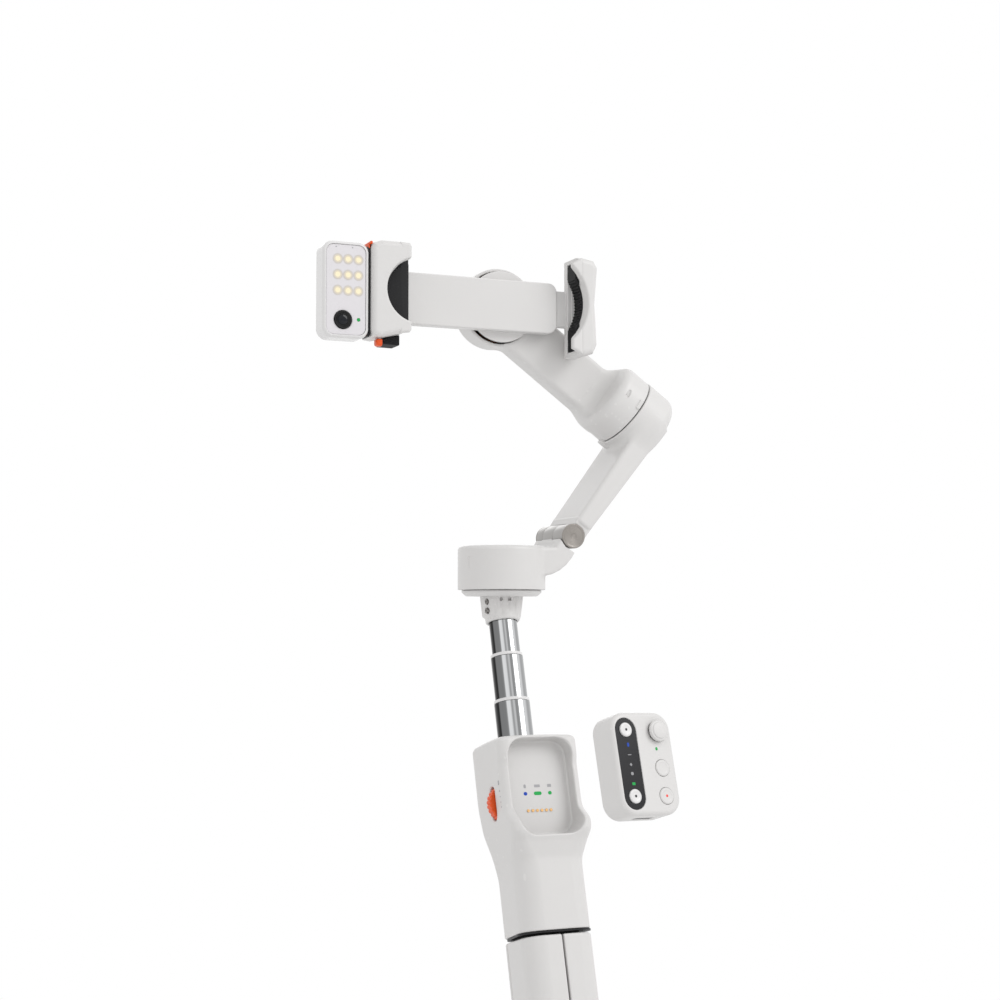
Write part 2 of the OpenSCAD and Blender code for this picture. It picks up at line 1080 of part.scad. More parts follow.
grip_shell();
core_column();
base_hub();
socket_insert();
battery_cell();
guide_tube();
top_collar();
cradle_tray();
status_leds();
pogo_pins();
zoom_wheel();
wheel_axle();
trigger();
usb_port();
leg_left();
leg_right();
leg_back();
leg_pins();
rod_1();
ring_1();
rod_2();
ring_2();
rod_3();
neck();
neck_screws();
pan_magnets();
pan_windings();
pan_bearing();
pan_shaft();
pan_housing();
lower_arm();
hinge_sleeve();
fold_pin();
beam();
tilt_windings();
tilt_shaft();
tilt_housing();
roll_arm();
roll_windings();
roll_shaft();
clamp_base();
guide_rods();
jaw_left();
pad_left();
trim_tab();
jaw_right();
pad_right();
tracker_case();
tracker_cover();
tracker_board();
light_leds();
camera_eye();
remote_case();
remote_core();
stick_cradle();
stick();
key_up();
key_down();
key_mode();
key_record();
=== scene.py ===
import json
import math
import random

import bpy
import numpy as np
from mathutils import Matrix, Vector


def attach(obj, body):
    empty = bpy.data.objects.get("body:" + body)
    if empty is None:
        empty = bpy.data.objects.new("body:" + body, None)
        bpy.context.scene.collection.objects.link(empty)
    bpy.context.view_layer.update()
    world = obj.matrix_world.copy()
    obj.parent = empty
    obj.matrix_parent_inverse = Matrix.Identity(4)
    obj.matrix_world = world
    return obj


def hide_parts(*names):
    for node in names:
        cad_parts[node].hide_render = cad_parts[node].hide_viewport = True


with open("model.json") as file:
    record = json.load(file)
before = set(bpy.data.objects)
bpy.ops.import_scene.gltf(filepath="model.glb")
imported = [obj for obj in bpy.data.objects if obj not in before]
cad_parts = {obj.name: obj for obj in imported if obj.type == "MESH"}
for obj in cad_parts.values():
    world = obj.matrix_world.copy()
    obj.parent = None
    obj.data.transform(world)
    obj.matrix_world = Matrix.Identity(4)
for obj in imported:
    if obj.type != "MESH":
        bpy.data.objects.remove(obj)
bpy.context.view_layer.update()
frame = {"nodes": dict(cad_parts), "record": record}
random.seed(7)

# ------------------------------------------------------------------ frames
LEAN = math.radians(16)
BEAM = math.radians(53.7)
ARC_TURN, ARC_LEAN = math.radians(10), math.radians(6)
ROW = Matrix.Identity(4)
PAN = Matrix.Translation((0, 7.5, 200)) @ Matrix.Rotation(LEAN, 4, "X") @ Matrix.Translation((0, 0, 8))
GIM = PAN @ Matrix.Translation((0, 0, 122.3))
TILT = GIM @ Matrix.Rotation(-BEAM, 4, "Y")
HINGE = PAN @ Matrix.Translation((27.5, 0, 23.5))
REMOTE = (
    Matrix.Translation((400, -14.9, 120.9))
    @ Matrix.Rotation(ARC_LEAN, 4, "X")
    @ Matrix.Rotation(ARC_TURN, 4, "Z")
    @ Matrix.Rotation(-ARC_LEAN, 4, "X")
    @ Matrix.Translation((-400, 0, 0))
)
TRACK = GIM @ Matrix.Translation((-74.9, 0, -0.4))
TO_M = Matrix.Scale(0.001, 4)

# ------------------------------------------------------------------ camera
AZ, PITCH = math.radians(23), math.radians(3.8)
flat = Vector((math.sin(AZ), math.cos(AZ), 0))
fwd = flat * math.cos(PITCH) + Vector((0, 0, math.sin(PITCH)))
right = Vector((math.cos(AZ), -math.sin(AZ), 0))
up = right.cross(fwd)
spot = Vector((-297.1, -698.3, -11.4))
rot = Matrix((right, up, -fwd)).transposed().to_4x4()
cam_data = bpy.data.cameras.new("camera")
cam_data.lens = 64.08
cam_data.sensor_width = 36
cam_data.clip_start = 0.01
cam = bpy.data.objects.new("camera", cam_data)
place = PAN @ Matrix.Translation(spot) @ rot
place.translation = place.translation * 0.001
cam.matrix_world = place
bpy.context.collection.objects.link(cam)
bpy.context.scene.camera = cam


# ------------------------------------------------------------------ distance fields, in mm
def both(a, b, r=0.0):
    """Inside both, with the shared edge rounded by r."""
    if r <= 0:
        return np.maximum(a, b)
    return np.minimum(-r, np.maximum(a, b)) + np.hypot(np.maximum(a + r, 0), np.maximum(b + r, 0))


def join(a, b, r=0.0):
    """Inside either, with the inner corner filled by r."""
    if r <= 0:
        return np.minimum(a, b)
    return np.maximum(r, np.minimum(a, b)) - np.hypot(np.maximum(r - a, 0), np.maximum(r - b, 0))


def cut(a, b, r=0.0):
    return both(a, -b, r)


def rect(x, y, hx, hy, r=0.0):
    qx, qy = np.abs(x) - hx + r, np.abs(y) - hy + r
    return np.hypot(np.maximum(qx, 0), np.maximum(qy, 0)) + np.minimum(np.maximum(qx, qy), 0) - r


def slab(z, z0, z1):
    return np.abs(z - (z0 + z1) / 2) - (z1 - z0) / 2


def block(x, y, z, hx, hy, hz, r=0.0):
    qx, qy, qz = np.abs(x) - hx + r, np.abs(y) - hy + r, np.abs(z) - hz + r
    out = np.sqrt(np.maximum(qx, 0) ** 2 + np.maximum(qy, 0) ** 2 + np.maximum(qz, 0) ** 2)
    return out + np.minimum(np.maximum(np.maximum(qx, qy), qz), 0) - r


def outline(x, y, pts):
    """Signed distance to a closed polygon."""
    d = np.full(x.shape, 1e9)
    s = np.ones(x.shape)
    n = len(pts)
    for i in range(n):
        ax, ay = pts[i]
        bx, by = pts[i - 1]
        ex, ey = bx - ax, by - ay
        wx, wy = x - ax, y - ay
        t = np.clip((wx * ex + wy * ey) / (ex * ex + ey * ey), 0, 1)
        d = np.minimum(d, (wx - ex * t) ** 2 + (wy - ey * t) ** 2)
        c1, c2, c3 = y >= ay, y < by, ex * wy > ey * wx
        s = np.where((c1 & c2 & c3) | (~c1 & ~c2 & ~c3), -s, s)
    return s * np.sqrt(d)


def curve(z, table, soft=4.0):
    """A smoothed line through (z, value) pairs."""
    zs = np.array([t[0] for t in table], float)
    vs = np.array([t[1] for t in table], float)
    fine = np.arange(zs[0] - 10, zs[-1] + 10, 0.25)
    line = np.interp(fine, zs, vs)
    n = max(3, int(soft / 0.25) | 1)
    win = np.hanning(n + 2)[1:-1]
    pad = np.concatenate([np.full(n, line[0]), line, np.full(n, line[-1])])
    line = np.convolve(pad, win / win.sum(), "same")[n:-n]
    return np.interp(z, fine, line)


# ------------------------------------------------------------------ mesh from a field
def surface(f, lo, hi, h):
    """Closed mesh of the zero level of f: points, quads and outward normals."""
    ax = [np.arange(lo[i] - 1.5 * h, hi[i] + 2.5 * h, h) for i in range(3)]
    X, Y, Z = np.meshgrid(*ax, indexing="ij")
    D = f(X, Y, Z)
    inside = D < 0
    n = [len(a) - 1 for a in ax]
    corners = [(i, j, k) for i in (0, 1) for j in (0, 1) for k in (0, 1)]

    def at(A, c):
        return A[c[0]:c[0] + n[0], c[1]:c[1] + n[1], c[2]:c[2] + n[2]]

    total = sum(at(inside, c).astype(np.int8) for c in corners)
    live = (total > 0) & (total < 8)
    index = np.full(live.shape, -1, np.int64)
    index[live] = np.arange(live.sum())
    base = np.argwhere(live)
    acc = np.zeros((len(base), 3))
    hits = np.zeros(len(base))
    for a in corners:
        for axis in range(3):
            if a[axis]:
                continue
            b = list(a)
            b[axis] = 1
            da, db = at(D, a)[live], at(D, b)[live]
            cross = (da < 0) != (db < 0)
            t = np.where(cross, da / np.where(cross, da - db, 1), 0)
            p = np.tile(np.array(a, float), (len(base), 1))
            p[:, axis] += t
            acc += p * cross[:, None]
            hits += cross
    origin = np.array([a[0] for a in ax])
    P = origin + (base + acc / hits[:, None]) * h
    quads = []
    for axis in range(3):
        u, v = [(1, 2), (2, 0), (0, 1)][axis]
        lo_s = [slice(0, n[0] + 1), slice(0, n[1] + 1), slice(0, n[2] + 1)]
        a_s, b_s = list(lo_s), list(lo_s)
        a_s[axis], b_s[axis] = slice(0, n[axis]), slice(1, n[axis] + 1)
        A, B = inside[tuple(a_s)], inside[tuple(b_s)]
        change = np.argwhere(A != B)
        ok = (change[:, u] > 0) & (change[:, v] > 0) & (change[:, u] < n[u]) & (change[:, v] < n[v])
        change = change[ok]
        flip = A[tuple(change.T)]
        cells = []
        for du, dv in ((-1, -1), (0, -1), (0, 0), (-1, 0)):
            c = change.copy()
            c[:, u] += du
            c[:, v] += dv
            cells.append(index[tuple(c.T)])
        q = np.stack(cells, 1)
        q[~flip] = q[~flip][:, ::-1]
        quads.append(q)
    Q = np.concatenate(quads)

    def grad(P, e=0.05):
        g = np.empty_like(P)
        for i in range(3):
            a, b = P.copy(), P.copy()
            a[:, i] += e
            b[:, i] -= e
            g[:, i] = (f(*a.T) - f(*b.T)) / (2 * e)
        return g

    start = P.copy()
    for _ in range(3):
        g = grad(P)
        P = P - g * (f(*P.T) / np.maximum((g * g).sum(1), 0.2))[:, None]
        P = start + np.clip(P - start, -0.8 * h, 0.8 * h)
    g = grad(P)
    N = g / np.maximum(np.linalg.norm(g, axis=1), 1e-6)[:, None]
    return P, Q, N


def make(name, verts, faces, mat, M, normals=None, smooth=True):
    me = bpy.data.meshes.new(name)
    me.from_pydata([tuple(v) for v in verts], [], [tuple(int(i) for i in q) for q in faces])
    T = TO_M @ M
    me.transform(T)
    me.materials.append(mat)
    for p in me.polygons:
        p.use_smooth = smooth
    if normals is not None:
        R = np.array(T.to_3x3().normalized())
        me.normals_split_custom_set_from_vertices([tuple(v) for v in (np.array(normals) @ R.T)])
    ob = bpy.data.objects.new(name, me)
    bpy.context.collection.objects.link(ob)
    return ob


def carve(name, f, lo, hi, h, M, mat, body, slot, *nodes):
    """A piece made from a distance field drawn in the frame M."""
    P, Q, N = surface(f, lo, hi, h)
    ob = make(name, P, Q, mat, M, N)
    return settle(ob, body, slot, *nodes)


def settle(ob, body, slot, *nodes):
    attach(ob, body)
    if nodes:
        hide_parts(*nodes)
    return ob


def soften(profile, r, steps=4):
    """Rounds the corners of an open or closed profile. r is one radius or one per point."""
    n = len(profile)
    out = []
    for i, p in enumerate(profile):
        ri = r[i] if isinstance(r, (list, tuple)) else r
        p = np.array(p, float)
        if ri <= 0 or i in (0, n - 1):
            out.append(tuple(p))
            continue
        a, b = np.array(profile[i - 1], float), np.array(profile[i + 1], float)
        la, lb = np.linalg.norm(a - p), np.linalg.norm(b - p)
        k = min(ri, la * 0.48, lb * 0.48)
        s, e = p + (a - p) / la * k, p + (b - p) / lb * k
        for j in range(steps + 1):
            t = j / steps
            out.append(tuple((1 - t) ** 2 * s + 2 * t * (1 - t) * p + t * t * e))
    return out


def lathe(name, profile, M, mat, body, slot, *nodes, seg=96, r=0.25, closed=True):
    """Turned piece: profile of (radius, height) pairs about Z. The ends are closed on the axis."""
    pts = soften(profile, r)
    verts, faces = [], []
    rows = []
    for rad, z in pts:
        if rad < 1e-6:
            rows.append([len(verts)])
            verts.append((0, 0, z))
        else:
            rows.append(list(range(len(verts), len(verts) + seg)))
            for i in range(seg):
                a = 2 * math.pi * i / seg
                verts.append((rad * math.cos(a), rad * math.sin(a), z))
    pairs = list(zip(rows, rows[1:]))
    if closed and len(rows[0]) > 1 and len(rows[-1]) > 1:
        pairs.append((rows[-1], rows[0]))
    for A, B in pairs:
        for i in range(seg):
            j = (i + 1) % seg
            if len(A) == 1 and len(B) == 1:
                continue
            if len(A) == 1:
                faces.append((A[0], B[j], B[i]))
            elif len(B) == 1:
                faces.append((A[i], A[j], B[0]))
            else:
                faces.append((A[i], A[j], B[j], B[i]))
    ob = make(name, verts, faces, mat, M)
    ob.data.set_sharp_from_angle(angle=math.radians(32))
    return settle(ob, body, slot, *nodes)


def patch(name, shape, depth, M, mat, body, slot, *nodes):
    """Thin flat piece: a closed outline in X and Z, its face at y = 0, going back by depth."""
    n = len(shape)
    verts = [(x, 0, z) for x, z in shape] + [(x, depth, z) for x, z in shape]
    faces = [tuple(range(n)), tuple(range(2 * n - 1, n - 1, -1))]
    faces += [(i, i + n, (i + 1) % n + n, (i + 1) % n) for i in range(n)]
    area = sum(shape[i - 1][0] * shape[i][1] - shape[i][0] * shape[i - 1][1] for i in range(n))
    if area < 0:
        faces = [tuple(reversed(q)) for q in faces]
    ob = make(name, verts, faces, mat, M, smooth=False)
    return settle(ob, body, slot, *nodes)


def disc(r, n=28, cx=0.0, cz=0.0):
    return [(cx + r * math.cos(2 * math.pi * i / n), cz + r * math.sin(2 * math.pi * i / n)) for i in range(n)]


def pill(hx, hz, r, cx=0.0, cz=0.0, n=6):
    out = []
    for sx, sz, a0 in ((1, 1, 0), (-1, 1, 90), (-1, -1, 180), (1, -1, 270)):
        for i in range(n + 1):
            a = math.radians(a0 + 90 * i / n)
            out.append((cx + sx * (hx - r) + r * math.cos(a), cz + sz * (hz - r) + r * math.sin(a)))
    return out


# ------------------------------------------------------------------ materials
def nodes_of(name):
    m = bpy.data.materials.new(name)
    m.use_nodes = True
    nt = m.node_tree
    return m, nt, nt.nodes["Principled BSDF"]


def textured(name, colour, rough, grain=900.0, bump=0.05, spread=0.05, tint=0.03, metal=0.0,
             coat=0.0, spec=0.5, sub=0.0):
    """Procedural finish: fine grain in the surface, drifting roughness, a faint random change of colour and a painted
    highlight on sharp convex edges.
    """
    m, nt, p = nodes_of(name)
    new = nt.nodes.new
    link = nt.links.new
    p.inputs["Metallic"].default_value = metal
    p.inputs["Specular IOR Level"].default_value = spec
    p.inputs["Coat Weight"].default_value = coat
    p.inputs["Coat Roughness"].default_value = 0.08
    if sub:
        p.inputs["Subsurface Weight"].default_value = sub
        p.inputs["Subsurface Radius"].default_value = (0.004, 0.003, 0.003)
        p.inputs["Subsurface Scale"].default_value = 0.5
    co = new("ShaderNodeTexCoord")
    fine = new("ShaderNodeTexNoise")
    fine.inputs["Scale"].default_value = grain
    fine.inputs["Detail"].default_value = 3
    wide = new("ShaderNodeTexNoise")
    wide.inputs["Scale"].default_value = 38
    wide.inputs["Detail"].default_value = 5
    link(co.outputs["Object"], fine.inputs["Vector"])
    link(co.outputs["Object"], wide.inputs["Vector"])
    b = new("ShaderNodeBump")
    b.inputs["Strength"].default_value = bump
    b.inputs["Distance"].default_value = 0.0002
    link(fine.outputs["Fac"], b.inputs["Height"])
    link(b.outputs["Normal"], p.inputs["Normal"])
    ramp = new("ShaderNodeMapRange")
    ramp.inputs["From Min"].default_value = 0.3
    ramp.inputs["From Max"].default_value = 0.7
    ramp.inputs["To Min"].default_value = max(rough - spread, 0.02)
    ramp.inputs["To Max"].default_value = rough + spread
    link(wide.outputs["Fac"], ramp.inputs["Value"])
    link(ramp.outputs["Result"], p.inputs["Roughness"])
    # painted highlight: colour a little lighter on sharp convex edges, where they catch the light
    geo = new("ShaderNodeNewGeometry")
    edge = new("ShaderNodeMapRange")
    edge.inputs["From Min"].default_value = 0.52
    edge.inputs["From Max"].default_value = 0.6
    link(geo.outputs["Pointiness"], edge.inputs["Value"])
    mix = new("ShaderNodeMix")
    mix.data_type = "RGBA"
    dark = [c * (1 - tint) for c in colour]
    mix.inputs["A"].default_value = (*dark, 1)
    mix.inputs["B"].default_value = (*colour, 1)
    link(wide.outputs["Fac"], mix.inputs["Factor"])
    edge_highlight_mix = new("ShaderNodeMix")
    edge_highlight_mix.data_type = "RGBA"
    edge_highlight_colour = [min(c * 1.04 + 0.01, 1) for c in colour]
    edge_highlight_mix.inputs["B"].default_value = (*edge_highlight_colour, 1)
    link(edge.outputs["Result"], edge_highlight_mix.inputs["Factor"])
    link(mix.outputs["Result"], edge_highlight_mix.inputs["A"])
    link(edge_highlight_mix.outputs["Result"], p.inputs["Base Color"])
    return m


def spun(name, colour, rough, axis_m, scale=2600.0):
    """Turned metal: fine rings about an axis."""
    m, nt, p = nodes_of(name)
    new = nt.nodes.new
    link = nt.links.new
    p.inputs["Metallic"].default_value = 1
    p.inputs["Base Color"].default_value = (*colour, 1)
    co = new("ShaderNodeTexCoord")
    mapping = new("ShaderNodeMapping")
    inv = (TO_M @ axis_m).inverted()
    inv = Matrix.Scale(0.001, 4) @ inv
    mapping.inputs["Location"].default_value = inv.translation
    mapping.inputs["Rotation"].default_value = inv.to_euler()
    link(co.outputs["Object"], mapping.inputs["Vector"])
    wave = new("ShaderNodeTexWave")
    wave.wave_type = "RINGS"
    wave.rings_direction = "Z"
    wave.inputs["Scale"].default_value = scale
    wave.inputs["Distortion"].default_value = 0.6
    wave.inputs["Detail"].default_value = 2
    link(mapping.outputs["Vector"], wave.inputs["Vector"])
    b = new("ShaderNodeBump")
    b.inputs["Strength"].default_value = 0.25
    b.inputs["Distance"].default_value = 0.00005
    link(wave.outputs["Fac"], b.inputs["Height"])
    link(b.outputs["Normal"], p.inputs["Normal"])
    ramp = new("ShaderNodeMapRange")
    ramp.inputs["To Min"].default_value = rough - 0.06
    ramp.inputs["To Max"].default_value = rough + 0.08
    link(wave.outputs["Fac"], ramp.inputs["Value"])
    link(ramp.outputs["Result"], p.inputs["Roughness"])
    return m


def glowing(name, colour, power, rough=0.3):
    """Lit lamp or light: brighter in the middle of each grain."""
    m, nt, p = nodes_of(name)
    new = nt.nodes.new
    link = nt.links.new
    p.inputs["Base Color"].default_value = (*[c * 0.4 for c in colour], 1)
    p.inputs["Specular IOR Level"].default_value = 0.2
    p.inputs["Emission Strength"].default_value = power
    co = new("ShaderNodeTexCoord")
    n = new("ShaderNodeTexNoise")
    n.inputs["Scale"].default_value = 700
    link(co.outputs["Object"], n.inputs["Vector"])
    mix = new("ShaderNodeMix")
    mix.data_type = "RGBA"
    mix.inputs["A"].default_value = (*[c * 0.8 for c in colour], 1)
    mix.inputs["B"].default_value = (*colour, 1)
    link(n.outputs["Fac"], mix.inputs["Factor"])
    link(mix.outputs["Result"], p.inputs["Emission Color"])
    ramp = new("ShaderNodeMapRange")
    ramp.inputs["To Min"].default_value = rough - 0.1
    ramp.inputs["To Max"].default_value = rough + 0.1
    link(n.outputs["Fac"], ramp.inputs["Value"])
    link(ramp.outputs["Result"], p.inputs["Roughness"])
    return m


def chrome_with_painted_reflection(name, colour, rough):
    """Drawn tube with a high shine: faint lengthwise lines, and painted reflection bands of dark and light around it.
    """
    m, nt, p = nodes_of(name)
    new = nt.nodes.new
    link = nt.links.new
    p.inputs["Metallic"].default_value = 1
    co = new("ShaderNodeTexCoord")
    mapping = new("ShaderNodeMapping")
    mapping.inputs["Scale"].default_value = (1, 1, 0.02)
    link(co.outputs["Object"], mapping.inputs["Vector"])
    n = new("ShaderNodeTexNoise")
    n.inputs["Scale"].default_value = 2500
    n.inputs["Detail"].default_value = 2
    link(mapping.outputs["Vector"], n.inputs["Vector"])
    b = new("ShaderNodeBump")
    b.inputs["Strength"].default_value = 0.03
    b.inputs["Distance"].default_value = 0.00005
    link(n.outputs["Fac"], b.inputs["Height"])
    link(b.outputs["Normal"], p.inputs["Normal"])
    ramp = new("ShaderNodeMapRange")
    ramp.inputs["To Min"].default_value = rough * 0.6
    ramp.inputs["To Max"].default_value = rough * 1.4
    link(n.outputs["Fac"], ramp.inputs["Value"])
    link(ramp.outputs["Result"], p.inputs["Roughness"])
    # painted reflection: bands of darker and lighter colour around the tube stand in for the dark and bright
    # surroundings that the chrome reflects
    around = new("ShaderNodeMapping")
    around.inputs["Location"].default_value = (0.00685, 0.00305, 0)
    around.inputs["Rotation"].default_value = (0, 0, math.radians(114))
    link(co.outputs["Object"], around.inputs["Vector"])
    grad = new("ShaderNodeTexGradient")
    grad.gradient_type = "RADIAL"
    link(around.outputs["Vector"], grad.inputs["Vector"])
    reflection_ramp = new("ShaderNodeValToRGB")
    reflection_stops = reflection_ramp.color_ramp.elements
    reflection_bands = [(0.0, 0.45), (0.25, 0.02), (0.365, 0.02), (0.378, 0.25), (0.447, 0.26), (0.456, 0.84), (0.488, 0.82),
             (0.495, 0.44), (0.505, 0.44), (0.515, 0.7), (0.525, 0.66), (0.533, 0.34), (0.545, 0.36), (0.56, 0.47),
             (0.585, 0.6), (0.61, 0.86), (0.63, 0.84), (0.65, 0.5), (0.75, 0.45)]
    reflection_stops[0].position, reflection_stops[1].position = reflection_bands[0][0], 1.0
    reflection_stops[0].color = (*[c * reflection_bands[0][1] for c in colour], 1)
    reflection_stops[1].color = (*[c * 0.5 for c in colour], 1)
    for pos, k in reflection_bands[1:]:
        stop = reflection_stops.new(pos)
        stop.color = (*[c * k for c in colour], 1)
    link(grad.outputs["Fac"], reflection_ramp.inputs["Fac"])
    mix = new("ShaderNodeMix")
    mix.data_type = "RGBA"
    mix.blend_type = "MULTIPLY"
    mix.inputs["Factor"].default_value = 1
    grain = new("ShaderNodeMapRange")
    grain.inputs["To Min"].default_value = 0.86
    link(n.outputs["Fac"], grain.inputs["Value"])
    link(reflection_ramp.outputs["Color"], mix.inputs["A"])
    link(grain.outputs["Result"], mix.inputs["B"])
    link(mix.outputs["Result"], p.inputs["Base Color"])
    return m


SHELL = textured("shell", (0.61, 0.6, 0.592), 0.42)
GLOSS = textured("gloss", (0.66, 0.652, 0.65), 0.24, bump=0.02, coat=0.2)
BLACK = textured("black", (0.012, 0.012, 0.013), 0.4, tint=0.2, spec=0.22)
PANEL = textured("panel", (0.008, 0.008, 0.01), 0.22, bump=0.01, tint=0.1, spec=0.25)
RUBBER = textured("rubber", (0.01, 0.01, 0.011), 0.62, grain=1600, bump=0.35, tint=0.3, spec=0.2)
ORANGE = textured("orange", (0.72, 0.085, 0.012), 0.36, tint=0.1, spec=0.3)
# the rod colour holds painted reflection bands around the tube
ROD = chrome_with_painted_reflection("rod", (0.78, 0.79, 0.8), 0.09)
STEEL = textured("steel", (0.5, 0.49, 0.47), 0.3, metal=1.0, tint=0.1, bump=0.1)
CAP = spun("cap", (0.3, 0.28, 0.26), 0.3, HINGE @ Matrix.Rotation(math.radians(90), 4, "X"))
GOLD = textured("gold", (0.5, 0.3, 0.13), 0.3, metal=1.0, tint=0.1)
COPPER = textured("copper", (0.72, 0.3, 0.12), 0.3, metal=1.0, tint=0.3, bump=0.3, grain=2500)
BOARD = textured("board", (0.72, 0.71, 0.68), 0.35, tint=0.08)
CELL = textured("cell", (0.08, 0.16, 0.34), 0.3, tint=0.2)
LAMP = glowing("lamp", (0.98, 0.88, 0.62), 0.62)
HALO = glowing("halo", (0.82, 0.77, 0.72), 0.36, 0.4)
GREEN = glowing("green", (0.02, 0.42, 0.09), 0.55)
BLUE = glowing("blue", (0.02, 0.08, 0.5), 0.5)
GREY = textured("grey", (0.24, 0.24, 0.25), 0.45, tint=0.1)
HALO_MID = glowing("halo_mid", (0.92, 0.83, 0.66), 0.42, 0.4)
DARK_STEEL = textured("dark_steel", (0.2, 0.19, 0.18), 0.35, metal=1.0, tint=0.1, bump=0.1)
KNUCKLE = textured("knuckle", (0.38, 0.37, 0.36), 0.34, metal=1.0, tint=0.1, bump=0.1)
RED = textured("red", (0.75, 0.05, 0.03), 0.35, tint=0.1)
INK = textured("ink", (0.32, 0.32, 0.33), 0.5, tint=0.1)
PALE = textured("pale", (0.66, 0.64, 0.66), 0.34, tint=0.06, coat=0.3)

by_slot = {
    "shell": SHELL, "gloss": GLOSS, "black": BLACK, "rubber": RUBBER, "rod": ROD, "metal": STEEL,
    "orange": ORANGE, "copper": COPPER, "contact": GOLD, "lamp": LAMP, "signal": GREEN,
    "clear": GLOSS, "board": BOARD, "cell": CELL,
}
for part in frame["record"]["subparts"]:
    ob = frame["nodes"][part["node"]]
    ob.data.materials.clear()
    ob.data.materials.append(DARK_STEEL if part["node"] == "neck_screws" else by_slot[part["material_slot"]])


# ------------------------------------------------------------------ handle
def grip_section(x, y, z):
    """Outer shape of the handle, before the top and the pocket."""
    wf = curve(z, [(0, 15.5), (92, 15.5), (103, 17.5), (108, 17.8), (114, 17.5), (142, 17.3)])
    wb = curve(z, [(0, 13.2), (86, 13.2), (96, 14.4), (106, 16.6), (116, 17.5), (142, 17.6)], 8)
    yf = curve(z, [(0, -16.6), (92, -16.6), (98.5, -18.8), (102, -20.9), (106, -20.7), (111.5, -15),
                   (114, -14.4), (130, -14.4), (133.5, -15.6), (142, -15.6)], 3.5)
    yb = curve(z, [(0, 16.4), (88, 16.4), (97, 17.8), (106, 19.6), (118, 20.5), (142, 20.4)], 8)
    rf = curve(z, [(0, 9), (90, 9), (102, 4.2), (142, 4.2)], 6)
    s = np.clip((y - yf) / (yb - yf), 0, 1)
    side = np.abs(x) - (wf + (wb - wf) * s)
    d = np.minimum(-rf, np.maximum(side, yf - y)) + np.hypot(np.maximum(side + rf, 0), np.maximum(yf - y + rf, 0))
    return both(d, y - yb, 8.5)


def grip(x, y, z):
    d = grip_section(x, y, z)
    top = z - (142.7 - 1.3 * ((y - 9) / 24) ** 2 - 0.5 * (x / 17) ** 2)
    d = both(d, top, 2.2)
    d = both(d, 64.0 - z, 0.5)
    drop = np.clip(-8 - y, 0, 14) * 0.11
    zc = 120.9
    zz = np.where(z < zc, (z - zc) * 19.2 / (19.2 + drop), z - zc)
    pocket = both(rect(x, zz, 14, 19.2, 7), y + 8, 1.0)
    d = cut(d, pocket, 0.9)
    slot = block(x + 17, y + 2.2, z - 116.1, 6, 2.7, 6.9, 2.5)
    d = cut(d, slot, 0.5)
    window = block(x, y - 22, z - 112.5, 6.6, 5, 8.8, 3.6)
    d = cut(d, window, 0.5)
    bore = np.hypot(x, y - 7.5) - 8.9
    d = cut(d, both(bore, 130 - z), 0.4)
    port = block(x - 18, y + 3, z - 80, 6, 1.75, 4.65, 1.7)
    return cut(d, port, 0.3)


carve("handle_shell", grip, (-18, -22, 63.5), (18, 21, 143.5), 0.42, ROW, SHELL, "handle", "shell",
      "grip_shell", "cradle_tray")


def leg_shape(direction):
    a = math.radians(direction)
    ca, sa = math.cos(a), math.sin(a)

    def f(x, y, z):
        d = grip_section(x, y, z)
        d = both(d, slab(z, 10.4, 62.2), 1.0)
        rad = x * ca + y * sa
        tan = np.abs(-x * sa + y * ca)
        wedge = tan * math.cos(math.radians(60)) - rad * math.sin(math.radians(60)) + 0.35
        d = both(d, wedge, 0.6)
        d = cut(d, rect(x, y, 11.85, 11.85, 6.35), 0.3)
        d = cut(d, np.hypot(rad - 14, z - 7) - 4.6, 0.4)
        side = -x * sa + y * ca
        knuckle = both(np.hypot(rad - 14, z - 7) - 2.9, np.abs(side) - 4.9, 0.3)
        web = block(rad - 15.0, side, z - 10, 1.2, 4.9, 3.2, 0.4)
        return join(d, join(knuckle, web, 0.3), 0.3)
    return f


for side, direction in (("left", 210), ("right", 330), ("back", 90)):
    carve(f"tripod_leg_{side}", leg_shape(direction), (-17, -17.5, 3.8), (17, 17.5, 62.6), 0.5, ROW,
          SHELL, f"leg_{side}", "shell", f"leg_{side}")


def hub(x, y, z):
    d = both(np.hypot(x, y) - 10.4, slab(z, 0, 10), 0.8)
    for direction in (90, 210, 330):
        a = math.radians(direction)
        rad, side = x * math.cos(a) + y * math.sin(a), -x * math.sin(a) + y * math.cos(a)
        ear = both(slab(rad, 6, 15.9), slab(z, 2.4, 10), 2.2)
        ear = both(ear, np.abs(np.abs(side) - 6.6) - 1.4, 0.4)
        d = join(d, ear, 0.4)
    for direction in (90, 210, 330):
        a = math.radians(direction)
        rad, side = x * math.cos(a) + y * math.sin(a), -x * math.sin(a) + y * math.cos(a)
        d = cut(d, both(9.6 - rad, np.abs(side) - 5.15), 0.3)
    return cut(d, both(np.hypot(x, y) - 4.6, z - 9.2), 0.3)


carve("tripod_hub", hub, (-17, -17, 0), (17, 17, 10.2), 0.35, ROW, SHELL, "handle", "shell", "base_hub")
turns = []
for i in range(13):
    z = 0.35 + 0.6 * i
    turns += [(3.45, z), (3.1, z + 0.3)]
lathe("socket_thread", [(4.5, 0.0)] + turns + [(3.3, 8.4), (0, 8.6), (0, 9), (4.5, 9)],
      ROW, STEEL, "handle", "metal", "socket_insert", r=0.08)

# zoom wheel, its slot marks and the trigger
WHEEL = Matrix.Translation((-12, -2.2, 116.1)) @ Matrix.Rotation(math.radians(90), 4, "X")


